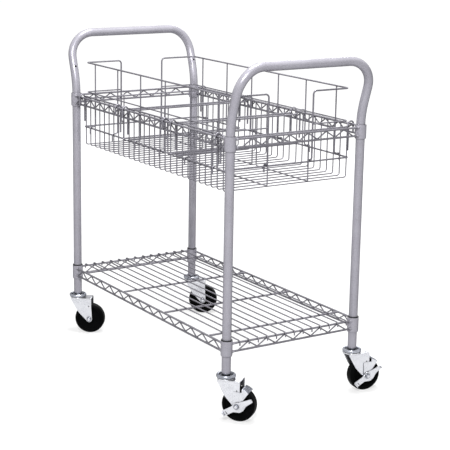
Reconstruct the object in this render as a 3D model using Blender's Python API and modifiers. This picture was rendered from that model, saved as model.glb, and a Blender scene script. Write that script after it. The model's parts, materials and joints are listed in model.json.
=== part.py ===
"""Wire mail cart on four swivel casters: two bent-tube handles, four posts, two laced wire frames, a wire deck,
three hanging baskets and two hook-on file rails.

Metres, +Z up, length along X, width along Y, floor at zero. The rear end, where the cart is pushed, is at +X,
and the left side is at -Y. The origin is the middle of the footprint of the whole cart.
"""

import math

import bmesh
import bpy
from mathutils import Matrix, Vector

# Overall
POST_SPACING_LENGTH = 0.889
POST_SPACING_WIDTH = 0.4318
POST_JOINT_HEIGHT = 0.762
SEAT_GAP = 0.0003
WELD_DEPTH = 0.001
ROUND_SIDES = 12

# Posts and handles
TUBE_DIAMETER = 0.0254
TUBE_WALL = 0.0016
POST_FOOT_ROOM = 0.003
HANDLE_RISE = 0.2159
HANDLE_STRAIGHT = 0.021
HANDLE_FLARE = 0.0381
HANDLE_CORNER_RADIUS = 0.076
HANDLE_FLARE_STEPS = 4
HANDLE_CORNER_STEPS = 5

# Corner collars and the split sleeves in them
COLLAR_DIAMETER = 0.0325
COLLAR_WALL = 0.0014
COLLAR_CHAMFER = 0.003
LOWER_COLLAR_RISE = 0.0475
LOWER_COLLAR_HEIGHT = 0.0435
UPPER_COLLAR_HEIGHT = 0.040
SLEEVE_STAND_UP = 0.0025

# Laced side frames
FRAME_WIRE = 0.006
LACING_WIRE = 0.004
FRAME_DEPTH = 0.023
FRAME_STAND_OUT = 0.008
LACING_PITCH = 0.0605
LOWER_FRAME_RISE = 0.012
UPPER_FRAME_RISE = 0.010
WIRE_SIDES = 4

# Deck of the lower shelf
DECK_WIRE = 0.004
DECK_END_DROP = 0.014
DECK_CROSS_WIRE = 0.006
DECK_CROSS_PLACE_SHARES = (0.137, 0.412)

# Baskets
BASKET_COUNT = 3
BASKET_END_ROOM = 0.04325
BASKET_LEAST_GAP = 0.030
BASKET_SIDE_ROOM = 0.0104
BASKET_DEPTH = 0.152
BASKET_MID_DROP = 0.095
BASKET_RIM_RISE = 0.002
BASKET_END_RIM_DROP = 0.008
BASKET_RIB_WIRE = 0.0035
BASKET_RIM_WIRE = 0.005
BASKET_CORNER_RADIUS = 0.007
BASKET_CORNER_STEPS = 2
BASKET_RING_CORNER = 0.005
BASKET_RUNNER_PLACE = 0.068
BASKET_RUNNER_BEND = 0.004
HOOK_WIRE = 0.005
HOOK_FOOT_DROP = 0.077
HOOK_TIP_DROP = 0.024
HOOK_INSET = 0.0045
HOOK_CROWN_STEPS = 5

# File rails
RAIL_INSET = 0.0105
RAIL_END_STAND = 0.01075
RAIL_RISE = 0.103
RAIL_LOWER_RISE = 0.0115
RAIL_END_PLACE = 0.074
RAIL_WIRE = 0.005
RAIL_UPRIGHT_WIRE = 0.004
RAIL_CORNER_RADIUS = 0.010
RAIL_HOOK_TIP_DROP = 0.017
RAIL_UPRIGHT_SHARES = (0.1726, 0.5125, 0.8631)

# Casters
WHEEL_RADIUS = 0.0476
WHEEL_HALF_WIDTH = 0.016
WHEEL_HUB_RADIUS = 0.013
WHEEL_HUB_HALF_WIDTH = 0.0185
WHEEL_WEB_HALF_WIDTH = 0.011
WHEEL_TREAD_DEPTH = 0.011
WHEEL_EDGE_BEVEL = 0.00275
WHEEL_SIDES = 18
CASTER_TRAIL = 0.040
RACE_RADIUS = 0.027
RACE_THICKNESS = 0.008
RACE_EDGE_DROP = 0.0027
RACE_STAND = 0.0043
LOWER_RACE_RADIUS = 0.0245
STEM_LENGTH = 0.045
SHOULDER_RADIUS = 0.0122
KINGPIN_RADIUS = 0.006
KINGPIN_HEAD_RADIUS = 0.010
KINGPIN_HEAD_THICKNESS = 0.003
FORK_HEADROOM = 0.0215
FORK_PLATE = 0.0025
FORK_HALF_WIDTH = 0.022
FORK_FRONT = 0.021
FORK_REAR_REACH = 0.007
FORK_REAR_EDGE = 0.0275
FORK_TOE_RADIUS = 0.0095
FORK_FRONT_BELLY_SHARE = 0.45
FORK_FRONT_BULGE = 0.004
FORK_TOE_STEPS = 4
LOCK_HOLE_RADIUS = 0.002
LOCK_HOLE_INSET = 0.0085
LOCK_HOLE_DROP = 0.0262
LOCK_HOLE_SIDES = 6
AXLE_RADIUS = 0.004
BUSHING_RADIUS = 0.0059
NUT_RADIUS = 0.0072
NUT_THICKNESS = 0.0046
BOLT_END_REACH = 0.002
AXLE_SIDES = 8
CUTTER_OVERRUN = 0.010

# Side brakes of the rear casters
BRAKE_PLATE = 0.002
PEDAL_PLATE = 0.0025
PEDAL_REACH = 0.045
PEDAL_OUTLINE_SHARES = (
    (0.89, 0.59), (1.0, 0.39), (0.60, 0.09), (0.44, -0.21), (0.22, -0.36), (-0.20, -0.37),
    (-0.69, -0.67), (-0.93, -0.39), (-0.36, -0.05), (-0.09, 0.21), (0.27, 0.33),
)
SHOE_CLEARANCE = 0.0026
SHOE_PLATE = 0.0025
SHOE_START_ANGLE = math.radians(15)
SHOE_END_ANGLE = math.radians(39)
SHOE_STEPS = 3
ARM_FRONT = 0.012
ARM_TOP = 0.0405
ARM_TOE_RADIUS = 0.0095
ARM_WAIST_REAR = 0.013
ARM_WAIST_HEIGHT = 0.0125
SHOE_TRAVEL = 0.0018

# Corners: name, side along the length, side along the width, trailing direction of the caster, side brake
CORNERS = (
    ("rear_left", 1, -1, math.radians(38), True),
    ("rear_right", 1, 1, math.radians(81), True),
    ("front_left", -1, -1, math.radians(52), False),
    ("front_right", -1, 1, math.radians(56), False),
)

SMOOTH_ANGLE = math.radians(40)
MERGE_DISTANCE = 0.00001

TUBE_RADIUS = TUBE_DIAMETER / 2
COLLAR_RADIUS = COLLAR_DIAMETER / 2
SLEEVE_OUTER_RADIUS = COLLAR_RADIUS - COLLAR_WALL - SEAT_GAP
SLEEVE_INNER_RADIUS = TUBE_RADIUS + SEAT_GAP
HALF_LENGTH = POST_SPACING_LENGTH / 2
HALF_WIDTH = POST_SPACING_WIDTH / 2
AXLE_HEIGHT = WHEEL_RADIUS
FORK_TOP_HEIGHT = 2 * WHEEL_RADIUS + FORK_HEADROOM
FORK_REAR = CASTER_TRAIL + FORK_REAR_REACH
RACE_HEIGHT = FORK_TOP_HEIGHT + RACE_STAND
POST_FOOT_HEIGHT = RACE_HEIGHT + RACE_THICKNESS + POST_FOOT_ROOM
HANDLE_BAR_HEIGHT = POST_JOINT_HEIGHT + HANDLE_RISE - TUBE_RADIUS
HANDLE_SPRING_HEIGHT = POST_JOINT_HEIGHT + HANDLE_STRAIGHT
LOWER_COLLAR_BASE = POST_FOOT_HEIGHT + LOWER_COLLAR_RISE
UPPER_COLLAR_BASE = POST_JOINT_HEIGHT - UPPER_COLLAR_HEIGHT / 2
FRAME_WIRE_RADIUS = FRAME_WIRE / 2
LOWER_FRAME_HEIGHT = LOWER_COLLAR_BASE + LOWER_FRAME_RISE
UPPER_FRAME_HEIGHT = UPPER_COLLAR_BASE + UPPER_FRAME_RISE
LOWER_FRAME_TOP_HEIGHT = LOWER_FRAME_HEIGHT + FRAME_DEPTH
UPPER_FRAME_TOP_HEIGHT = UPPER_FRAME_HEIGHT + FRAME_DEPTH
SHORT_FRAME_X = HALF_LENGTH + FRAME_STAND_OUT
LONG_FRAME_Y = HALF_WIDTH + FRAME_STAND_OUT
WIRE_PITCH = LACING_PITCH / 2
BASKET_RIB_COUNT = int((POST_SPACING_LENGTH / BASKET_COUNT - BASKET_LEAST_GAP) / WIRE_PITCH) + 1
BASKET_RIB_X = (BASKET_RIB_COUNT - 1) * WIRE_PITCH / 2
BASKET_HALF_WIDTH = HALF_WIDTH - BASKET_SIDE_ROOM
BASKET_STAND_OUT = (BASKET_RIB_WIRE + BASKET_RIM_WIRE) / 2 - WELD_DEPTH
BASKET_RING_X = BASKET_RIB_X + BASKET_STAND_OUT
BASKET_RING_Y = BASKET_HALF_WIDTH + BASKET_STAND_OUT
BASKET_SPACING = HALF_LENGTH - BASKET_END_ROOM - BASKET_RING_X
BASKET_RIM_HEIGHT = UPPER_FRAME_TOP_HEIGHT + BASKET_RIM_RISE
BASKET_FLOOR_HEIGHT = BASKET_RIM_HEIGHT - BASKET_DEPTH
BASKET_MID_HEIGHT = BASKET_RIM_HEIGHT - BASKET_MID_DROP
HOOK_FOOT_HEIGHT = BASKET_RIM_HEIGHT - HOOK_FOOT_DROP
HOOK_TIP_HEIGHT = UPPER_FRAME_TOP_HEIGHT - HOOK_TIP_DROP
RAIL_HALF_WIDTH = BASKET_HALF_WIDTH - RAIL_INSET
RAIL_SEAT_X = BASKET_SPACING + BASKET_RING_X
RAIL_HALF_LENGTH = RAIL_SEAT_X + RAIL_END_STAND
RAIL_TOP_HEIGHT = BASKET_RIM_HEIGHT + RAIL_RISE
RAIL_LOWER_HEIGHT = BASKET_RIM_HEIGHT + RAIL_LOWER_RISE
RAIL_HOOK_TIP_HEIGHT = BASKET_MID_HEIGHT - RAIL_HOOK_TIP_DROP


def clear_scene():
    """Remove everything that a new Blender file holds."""
    for leftover in list(bpy.data.objects):
        bpy.data.objects.remove(leftover, do_unlink=True)


def new_collection(name):
    """A collection linked to the scene."""
    collection = bpy.data.collections.new(name)
    bpy.context.scene.collection.children.link(collection)
    return collection


def new_material(name, colour, roughness, metallic):
    """A Principled material of one colour."""
    material = bpy.data.materials.new(name)
    material.use_nodes = True
    shader = material.node_tree.nodes["Principled BSDF"]
    shader.inputs["Base Color"].default_value = (*colour, 1)
    shader.inputs["Roughness"].default_value = roughness
    shader.inputs["Metallic"].default_value = metallic
    return material


def make_materials():
    """The finishes of the cart, by name."""
    return {
        "paint": new_material("silver_paint", (0.56, 0.55, 0.60), 0.35, 0.6),
        "zinc": new_material("bright_zinc", (0.78, 0.79, 0.82), 0.25, 1.0),
        "rubber": new_material("black_rubber", (0.012, 0.012, 0.013), 0.55, 0.0),
        "sleeve": new_material("black_plastic", (0.02, 0.02, 0.022), 0.45, 0.0),
    }


def mesh_of(helper):
    """The closed mesh of a helper object with its modifiers and caps, in its own frame. The helper goes."""
    graph = bpy.context.evaluated_depsgraph_get()
    mesh = bpy.data.meshes.new_from_object(helper.evaluated_get(graph))
    bpy.data.objects.remove(helper, do_unlink=True)
    shape = bmesh.new()
    shape.from_mesh(mesh)
    bmesh.ops.remove_doubles(shape, verts=shape.verts, dist=MERGE_DISTANCE)
    shape.to_mesh(mesh)
    shape.free()
    mesh.shade_smooth()
    mesh.set_sharp_from_angle(angle=SMOOTH_ANGLE)
    return mesh


def helper_object(data, collection=None):
    """An object that only carries data while a shape is made."""
    helper = bpy.data.objects.new("helper", data)
    (collection or bpy.context.scene.collection).objects.link(helper)
    return helper


def wire(points, diameter, sides, closed=False):
    """A round wire or tube along straight runs between points."""
    curve = bpy.data.curves.new("wire", "CURVE")
    curve.dimensions = "3D"
    curve.bevel_depth = diameter / 2
    curve.bevel_resolution = (sides - 4) // 2
    curve.use_fill_caps = True
    spline = curve.splines.new("POLY")
    spline.points.add(len(points) - 1)
    for point, place in zip(spline.points, points):
        point.co = (*place, 1)
    spline.use_cyclic_u = closed
    return mesh_of(helper_object(curve))


def turned(profile, sides, closed=False):
    """A shape turned about Z from (radius, height) points that run down its outer side."""
    outline = bpy.data.meshes.new("profile")
    shape = bmesh.new()
    corners = [shape.verts.new((radius, 0, height)) for radius, height in profile]
    for start, end in zip(corners, corners[1:] + corners[:1] * closed):
        shape.edges.new((start, end))
    shape.to_mesh(outline)
    shape.free()
    helper = helper_object(outline)
    screw = helper.modifiers.new("turn", "SCREW")
    screw.angle = math.tau
    screw.steps = screw.render_steps = sides
    screw.use_merge_vertices = True
    screw.merge_threshold = MERGE_DISTANCE
    return mesh_of(helper)


def plate(outline, middle, thickness, holes=()):
    """A flat plate standing in the XZ plane about Y = middle, with round holes given as (x, z, radius)."""
    curve = bpy.data.curves.new("outline", "CURVE")
    curve.dimensions = "2D"
    curve.fill_mode = "BOTH"
    curve.extrude = thickness / 2
    rounds = [circle(x, z, radius, AXLE_SIDES) for x, z, radius in holes]
    for loop in (outline, *rounds):
        spline = curve.splines.new("POLY")
        spline.points.add(len(loop) - 1)
        for point, (x, z) in zip(spline.points, loop):
            point.co = (x, z, 0, 1)
        spline.use_cyclic_u = True
    mesh = mesh_of(helper_object(curve))
    mesh.transform(Matrix.Translation((0, middle, 0)) @ Matrix.Rotation(math.pi / 2, 4, "X"))
    return mesh


def block(low, high):
    """A box between two corners."""
    mesh = bpy.data.meshes.new("block")
    shape = bmesh.new()
    bmesh.ops.create_cube(shape, size=1)
    size = Vector(high) - Vector(low)
    middle = (Vector(high) + Vector(low)) / 2
    shape.transform(Matrix.Translation(middle) @ Matrix.Diagonal((*size, 1)))
    shape.to_mesh(mesh)
    shape.free()
    return mesh


def rod(start, end, radius, sides):
    """A plain cylinder from one point to another."""
    mesh = bpy.data.meshes.new("rod")
    axis = Vector(end) - Vector(start)
    shape = bmesh.new()
    bmesh.ops.create_cone(
        shape, cap_ends=True, segments=sides, radius1=radius, radius2=radius, depth=axis.length
    )
    turn = axis.to_track_quat("Z", "X").to_matrix().to_4x4()
    shape.transform(Matrix.Translation((Vector(start) + Vector(end)) / 2) @ turn)
    shape.to_mesh(mesh)
    shape.free()
    return mesh


def combined(meshes, operation):
    """The first mesh joined to the others, or cut by them."""
    first, *others = meshes
    group = bpy.data.collections.new("operands")
    operands = [helper_object(mesh, group) for mesh in others]
    base = helper_object(first)
    boolean = base.modifiers.new("combine", "BOOLEAN")
    boolean.operation = operation
    boolean.operand_type = "COLLECTION"
    boolean.collection = group
    mesh = mesh_of(base)
    for operand in operands:
        bpy.data.objects.remove(operand, do_unlink=True)
    bpy.data.collections.remove(group)
    return mesh


def circle(x, z, radius, sides):
    """Points evenly round a circle."""
    angles = [math.tau * step / sides for step in range(sides)]
    return [(x + radius * math.cos(angle), z + radius * math.sin(angle)) for angle in angles]


def arc(x, z, radius, start, end, steps):
    """Points along an arc about (x, z), from one angle to another."""
    angles = [start + (end - start) * step / steps for step in range(steps + 1)]
    return [(x + radius * math.cos(angle), z + radius * math.sin(angle)) for angle in angles]


class Cart:
    """Collects the finished pieces under one origin."""

    def __init__(self):
        self.collection = new_collection("mail_cart")
        self.materials = make_materials()
        self.origin = self.empty("cart_origin", None, (0, 0, 0))
        self.pieces = []

    def empty(self, name, parent, place, turn=0):
        """An empty that carries pieces, at a place and turned about Z."""
        carrier = bpy.data.objects.new(name, None)
        carrier.location = place
        carrier.rotation_euler.z = turn
        carrier.parent = parent
        self.collection.objects.link(carrier)
        return carrier

    def add(self, name, mesh, finish, parent=None, place=(0, 0, 0), turn=0):
        """One named piece with its finish."""
        if not mesh.materials:
            mesh.materials.append(self.materials[finish])
        piece = bpy.data.objects.new(name, mesh)
        piece.location = place
        piece.rotation_euler.z = turn
        piece.parent = parent or self.origin
        self.collection.objects.link(piece)
        self.pieces.append(piece)
        return piece

    def centre_origin(self):
        """Shift everything so that the origin is the middle of the cart's footprint, on the floor."""
        bpy.context.view_layer.update()
        points = [piece.matrix_world @ vertex.co for piece in self.pieces for vertex in piece.data.vertices]
        low = [min(point[axis] for point in points) for axis in range(3)]
        high = [max(point[axis] for point in points) for axis in range(3)]
        self.origin.location = (-(low[0] + high[0]) / 2, -(low[1] + high[1]) / 2, -low[2])


def make_posts(cart):
    """Four tube posts, each from its caster up to the joint inside the upper collar."""
    inner = TUBE_RADIUS - TUBE_WALL
    profile = [
        (TUBE_RADIUS, POST_JOINT_HEIGHT),
        (TUBE_RADIUS, POST_FOOT_HEIGHT),
        (inner, POST_FOOT_HEIGHT),
        (inner, POST_JOINT_HEIGHT),
    ]
    mesh = turned(profile, ROUND_SIDES, closed=True)
    for name, along, across, _, _ in CORNERS:
        cart.add(f"post_{name}", mesh, "paint", place=(along * HALF_LENGTH, across * HALF_WIDTH, 0))


def handle_flare(height):
    """How far a handle leg has bent outwards at a height."""
    share = max(height - HANDLE_SPRING_HEIGHT, 0) / (HANDLE_BAR_HEIGHT - HANDLE_SPRING_HEIGHT)
    return HANDLE_FLARE * math.sin(math.pi / 2 * share) ** 2


def handle_leg():
    """Half of a handle's path: up one leg, through its flare and round the corner to the bar."""
    corner_base = HANDLE_BAR_HEIGHT - HANDLE_CORNER_RADIUS
    climb = corner_base - HANDLE_SPRING_HEIGHT
    heights = [POST_JOINT_HEIGHT + SEAT_GAP]
    heights += [HANDLE_SPRING_HEIGHT + climb * step / HANDLE_FLARE_STEPS for step in range(HANDLE_FLARE_STEPS)]
    path = [(handle_flare(height), HALF_WIDTH, height) for height in heights]
    middle = HALF_WIDTH - HANDLE_CORNER_RADIUS
    for y, z in arc(middle, corner_base, HANDLE_CORNER_RADIUS, 0, math.pi / 2, HANDLE_CORNER_STEPS):
        path.append((handle_flare(z), y, z))
    return path


def make_handles(cart):
    """Two push handles, each one tube bent up from a pair of posts."""
    leg = handle_leg()
    other = [(x, -y, z) for x, y, z in reversed(leg)]
    mesh = wire(leg + other, TUBE_DIAMETER, ROUND_SIDES)
    cart.add("handle_rear", mesh, "paint", place=(HALF_LENGTH, 0, 0))
    cart.add("handle_front", mesh, "paint", place=(-HALF_LENGTH, 0, 0), turn=math.pi)


def make_collars(cart, level, base, height):
    """The corner collars of one level, and the split sleeve wedged in each."""
    inner = COLLAR_RADIUS - COLLAR_WALL
    collar = turned(
        [
            (COLLAR_RADIUS, base + height),
            (COLLAR_RADIUS, base + COLLAR_CHAMFER),
            (inner, base),
            (inner, base + height),
        ],
        ROUND_SIDES,
        closed=True,
    )
    sleeve = turned(
        [
            (SLEEVE_OUTER_RADIUS, base + height + SLEEVE_STAND_UP),
            (SLEEVE_OUTER_RADIUS, base),
            (SLEEVE_INNER_RADIUS, base),
            (SLEEVE_INNER_RADIUS, base + height + SLEEVE_STAND_UP),
        ],
        ROUND_SIDES,
        closed=True,
    )
    for name, along, across, _, _ in CORNERS:
        place = (along * HALF_LENGTH, across * HALF_WIDTH, 0)
        cart.add(f"collar_{level}_{name}", collar, "paint", place=place)
        cart.add(f"sleeve_{level}_{name}", sleeve, "sleeve", place=place)


def lacing_points(half_span, bottom, top):
    """Zigzag from one bottom end to the other, with a bottom at the middle."""
    room = half_span - COLLAR_RADIUS
    peaks = int(room / LACING_PITCH)
    steps = range(-2 * peaks, 2 * peaks + 1)
    return [(step * LACING_PITCH / 2, 0, bottom if step % 2 == 0 else top) for step in steps]


def laced_frame(half_span, height):
    """One side of a frame: two straight wires with a zigzag between them, their ends cut to saddle the collars.

    It runs along X, with the collars it meets on its +Y side.
    """
    top = height + FRAME_DEPTH
    rails = [wire([(-half_span, 0, z), (half_span, 0, z)], FRAME_WIRE, WIRE_SIDES) for z in (height, top)]
    inset = FRAME_WIRE_RADIUS - WELD_DEPTH
    points = lacing_points(half_span, height + inset, top - inset)
    saddles = [
        rod(
            (end * half_span, FRAME_STAND_OUT, height - CUTTER_OVERRUN),
            (end * half_span, FRAME_STAND_OUT, top + CUTTER_OVERRUN),
            COLLAR_RADIUS + SEAT_GAP,
            ROUND_SIDES,
        )
        for end in (-1, 1)
    ]
    laced = combined([*rails, wire(points, LACING_WIRE, WIRE_SIDES)], "UNION")
    return combined([laced, *saddles], "DIFFERENCE")


def make_frame(cart, level, height):
    """The four laced sides of one level."""
    long_side = laced_frame(HALF_LENGTH, height)
    short_side = laced_frame(HALF_WIDTH, height)
    cart.add(f"frame_{level}_left", long_side, "paint", place=(0, -LONG_FRAME_Y, 0))
    cart.add(f"frame_{level}_right", long_side, "paint", place=(0, LONG_FRAME_Y, 0), turn=math.pi)
    cart.add(f"frame_{level}_rear", short_side, "paint", place=(SHORT_FRAME_X, 0, 0), turn=math.pi / 2)
    cart.add(f"frame_{level}_front", short_side, "paint", place=(-SHORT_FRAME_X, 0, 0), turn=-math.pi / 2)


def make_deck(cart):
    """Long wires lying on the end frames, turned down past them, on cross wires between the side frames."""
    clear = FRAME_WIRE_RADIUS + SEAT_GAP + DECK_WIRE / 2
    bend = clear * (2 - math.sqrt(2))
    surface = LOWER_FRAME_TOP_HEIGHT + clear
    end = SHORT_FRAME_X + clear
    half = [(end - bend, surface), (end, surface - bend), (end, surface - DECK_END_DROP)]
    path = [(-x, z) for x, z in reversed(half)] + half
    count = int((HALF_WIDTH - COLLAR_RADIUS) / WIRE_PITCH)
    lengthwise = [
        wire([(x, row * WIRE_PITCH, z) for x, z in path], DECK_WIRE, WIRE_SIDES)
        for row in range(-count, count + 1)
    ]
    cross_height = surface - DECK_WIRE / 2 - DECK_CROSS_WIRE / 2 + WELD_DEPTH
    reach = LONG_FRAME_Y - FRAME_WIRE_RADIUS - SEAT_GAP
    places = [end * share * POST_SPACING_LENGTH for share in DECK_CROSS_PLACE_SHARES for end in (-1, 1)]
    crosswise = [
        wire([(x, -reach, cross_height), (x, reach, cross_height)], DECK_CROSS_WIRE, WIRE_SIDES) for x in places
    ]
    cart.add("lower_deck", combined([*crosswise, *lengthwise], "UNION"), "paint")


def basket_rib(x):
    """One U-shaped rib across a basket, its ends welded inside the rim."""
    radius = BASKET_CORNER_RADIUS
    corner = arc(
        BASKET_HALF_WIDTH - radius, BASKET_FLOOR_HEIGHT + radius, radius, -math.pi / 2, 0, BASKET_CORNER_STEPS
    )
    half = [(x, y, z) for y, z in corner] + [(x, BASKET_HALF_WIDTH, BASKET_RIM_HEIGHT)]
    return wire([(x, -y, z) for x, y, z in reversed(half)] + half, BASKET_RIB_WIRE, WIRE_SIDES)


def basket_ring(height, end_height):
    """A closed ring of rim wire, with cut corners, whose ends may lie lower than its sides."""
    radius = BASKET_RING_CORNER
    corner = [(BASKET_RING_X - radius, BASKET_RING_Y, height), (BASKET_RING_X, BASKET_RING_Y - radius, end_height)]
    quarter_turns = [
        *[(x, y, z) for x, y, z in corner],
        *[(x, -y, z) for x, y, z in reversed(corner)],
        *[(-x, -y, z) for x, y, z in corner],
        *[(-x, y, z) for x, y, z in reversed(corner)],
    ]
    return wire(quarter_turns, BASKET_RIM_WIRE, WIRE_SIDES, closed=True)


def basket_hook(x, side):
    """A hook from the side of a basket, with a round crown over the frame's top wire."""
    inner = BASKET_RING_Y + (BASKET_RIM_WIRE + HOOK_WIRE) / 2 - WELD_DEPTH
    outer = LONG_FRAME_Y + FRAME_WIRE_RADIUS + HOOK_WIRE / 2 + SEAT_GAP
    crown = (outer - inner) / 2
    arch = arc((inner + outer) / 2, UPPER_FRAME_TOP_HEIGHT, crown, math.pi, 0, HOOK_CROWN_STEPS)
    path = [(inner, HOOK_FOOT_HEIGHT), *arch, (outer, HOOK_TIP_HEIGHT)]
    return wire([(x, side * y, z) for y, z in path], HOOK_WIRE, WIRE_SIDES)


def basket_runner(y):
    """A wire that lies on the ribs along a basket, turned up at both ends outside the rings."""
    floor = BASKET_FLOOR_HEIGHT + BASKET_RIB_WIRE - WELD_DEPTH
    end = BASKET_RING_X + (BASKET_RIM_WIRE + BASKET_RIB_WIRE) / 2 - WELD_DEPTH
    top = BASKET_RIM_HEIGHT - BASKET_END_RIM_DROP
    half = [(end - BASKET_RUNNER_BEND, floor), (end, floor + BASKET_RUNNER_BEND), (end, top)]
    path = [(-x, z) for x, z in reversed(half)] + half
    return wire([(x, y, z) for x, z in path], BASKET_RIB_WIRE, WIRE_SIDES)


def make_baskets(cart):
    """Three open wire baskets hung between the upper side frames."""
    wires = [
        basket_ring(BASKET_RIM_HEIGHT, BASKET_RIM_HEIGHT - BASKET_END_RIM_DROP),
        basket_ring(BASKET_MID_HEIGHT, BASKET_MID_HEIGHT),
    ]
    wires += [basket_rib(place * WIRE_PITCH - BASKET_RIB_X) for place in range(BASKET_RIB_COUNT)]
    wires += [basket_runner(side * BASKET_RUNNER_PLACE) for side in (-1, 1)]
    wires += [basket_hook(end * (BASKET_RIB_X - HOOK_INSET), side) for end in (-1, 1) for side in (-1, 1)]
    mesh = combined(wires, "UNION")
    for name, step in (("front", -1), ("middle", 0), ("rear", 1)):
        cart.add(f"basket_{name}", mesh, "paint", place=(step * BASKET_SPACING, 0, 0))


def over_hook(start, seat, seat_height, wire_diameter):
    """Points of a hook that leaves start, passes over a ring wire at seat and ends beyond it.

    They are (distance, height) pairs, with distances measured along the line from start to seat.
    """
    way = 1 if seat > start else -1
    clear = (BASKET_RIM_WIRE + wire_diameter) / 2 + SEAT_GAP
    over = seat_height + clear
    past = seat + way * clear
    ease = clear / 2
    return [
        (start, over + clear),
        (start + way * ease, over + ease / 2),
        (seat - way * ease, over),
        (seat + way * ease, over),
        (past, seat_height + ease / 2),
        (past, RAIL_HOOK_TIP_HEIGHT),
    ]


def rail_wire(side, height, tail):
    """The path of one long wire of a rail, turned in at both ends. Each end goes on through tail.

    tail holds (x, distance from the middle plane, z) points of the rear end.
    """
    y = RAIL_HALF_WIDTH
    half = [(RAIL_HALF_LENGTH - RAIL_CORNER_RADIUS, y, height), (RAIL_HALF_LENGTH, y - RAIL_CORNER_RADIUS, height)]
    half += tail
    return [(end * x, side * y, z) for end, run in ((-1, half[::-1]), (1, half)) for x, y, z in run]


def rail_uprights(side):
    """The six uprights of a rail, hooked over the side wires of the baskets."""
    hook = over_hook(RAIL_HALF_WIDTH, BASKET_RING_Y, BASKET_MID_HEIGHT, RAIL_UPRIGHT_WIRE)
    path = [(RAIL_HALF_WIDTH, RAIL_TOP_HEIGHT)] + hook
    places = [end * share * RAIL_HALF_LENGTH for share in RAIL_UPRIGHT_SHARES for end in (-1, 1)]
    return [wire([(x, side * y, z) for y, z in path], RAIL_UPRIGHT_WIRE, WIRE_SIDES) for x in places]


def make_file_rails(cart):
    """Two lift-off rails for hanging folders, hooked on the baskets."""
    hook = over_hook(RAIL_HALF_LENGTH, RAIL_SEAT_X, BASKET_MID_HEIGHT, RAIL_WIRE)
    drop = [
        (RAIL_HALF_LENGTH, RAIL_END_PLACE + RAIL_CORNER_RADIUS, RAIL_TOP_HEIGHT),
        (RAIL_HALF_LENGTH, RAIL_END_PLACE, RAIL_TOP_HEIGHT - RAIL_CORNER_RADIUS),
        *[(x, RAIL_END_PLACE, z) for x, z in hook],
    ]
    short_end = [(RAIL_HALF_LENGTH, RAIL_END_PLACE, RAIL_LOWER_HEIGHT)]
    for name, side in (("left", -1), ("right", 1)):
        wires = [
            wire(rail_wire(side, RAIL_TOP_HEIGHT, drop), RAIL_WIRE, WIRE_SIDES),
            wire(rail_wire(side, RAIL_LOWER_HEIGHT, short_end), RAIL_UPRIGHT_WIRE, WIRE_SIDES),
            *rail_uprights(side),
        ]
        cart.add(f"file_rail_{name}", combined(wires, "UNION"), "paint")


def stem_mesh():
    """Stem in the post, upper race and kingpin, turned in one piece."""
    race_top = RACE_HEIGHT + RACE_THICKNESS
    head_top = FORK_TOP_HEIGHT - FORK_PLATE - SEAT_GAP
    stem_radius = TUBE_RADIUS - TUBE_WALL - SEAT_GAP
    stem_top = race_top + STEM_LENGTH
    shoulder_top = POST_FOOT_HEIGHT - SEAT_GAP
    profile = [
        (0, stem_top),
        (stem_radius, stem_top),
        (stem_radius, shoulder_top),
        (SHOULDER_RADIUS, shoulder_top),
        (SHOULDER_RADIUS, race_top),
        (RACE_RADIUS, race_top - RACE_EDGE_DROP),
        (RACE_RADIUS, RACE_HEIGHT),
        (KINGPIN_RADIUS, RACE_HEIGHT),
        (KINGPIN_RADIUS, head_top),
        (KINGPIN_HEAD_RADIUS, head_top),
        (KINGPIN_HEAD_RADIUS, head_top - KINGPIN_HEAD_THICKNESS),
        (0, head_top - KINGPIN_HEAD_THICKNESS),
    ]
    return turned(profile, ROUND_SIDES)


def fork_outline():
    """Side view of a fork: top edge, rear edge, toe round the axle and bellied front edge."""
    rear_low = FORK_TOP_HEIGHT - FORK_REAR_EDGE
    toe = arc(CASTER_TRAIL, AXLE_HEIGHT, FORK_TOE_RADIUS, math.radians(10), -math.radians(150), FORK_TOE_STEPS)
    front_toe_x, front_toe_z = toe[-1]
    share = FORK_FRONT_BELLY_SHARE
    belly_x = front_toe_x + (-FORK_FRONT - front_toe_x) * share - FORK_FRONT_BULGE
    belly_z = front_toe_z + (FORK_TOP_HEIGHT - front_toe_z) * share - FORK_FRONT_BULGE
    front = [(belly_x, belly_z), (-FORK_FRONT, FORK_TOP_HEIGHT)]
    return [(FORK_REAR, FORK_TOP_HEIGHT), (FORK_REAR, rear_low), *toe, *front]


def fork_mesh():
    """A bent-plate fork with its lower race, bored for the kingpin, axle and lock pin."""
    width = 2 * FORK_HALF_WIDTH
    inner = FORK_HALF_WIDTH - FORK_PLATE
    low_race_top = RACE_HEIGHT - SEAT_GAP
    body = plate(fork_outline(), 0, width)
    race = rod((0, 0, FORK_TOP_HEIGHT - FORK_PLATE / 2), (0, 0, low_race_top), LOWER_RACE_RADIUS, ROUND_SIDES)
    hollow = block(
        (-FORK_FRONT - CUTTER_OVERRUN, -inner, -CUTTER_OVERRUN),
        (FORK_REAR + CUTTER_OVERRUN, inner, FORK_TOP_HEIGHT - FORK_PLATE),
    )
    reach = FORK_HALF_WIDTH + CUTTER_OVERRUN
    lock_x, lock_z = FORK_REAR - LOCK_HOLE_INSET, FORK_TOP_HEIGHT - LOCK_HOLE_DROP
    bores = [
        rod((0, 0, FORK_TOP_HEIGHT - CUTTER_OVERRUN), (0, 0, RACE_HEIGHT + CUTTER_OVERRUN),
            KINGPIN_RADIUS + SEAT_GAP, ROUND_SIDES),
        rod((CASTER_TRAIL, -reach, AXLE_HEIGHT), (CASTER_TRAIL, reach, AXLE_HEIGHT),
            AXLE_RADIUS + SEAT_GAP, AXLE_SIDES),
        rod((lock_x, -reach, lock_z), (lock_x, reach, lock_z), LOCK_HOLE_RADIUS, LOCK_HOLE_SIDES),
    ]
    return combined([combined([body, race], "UNION"), hollow, *bores], "DIFFERENCE")


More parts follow.
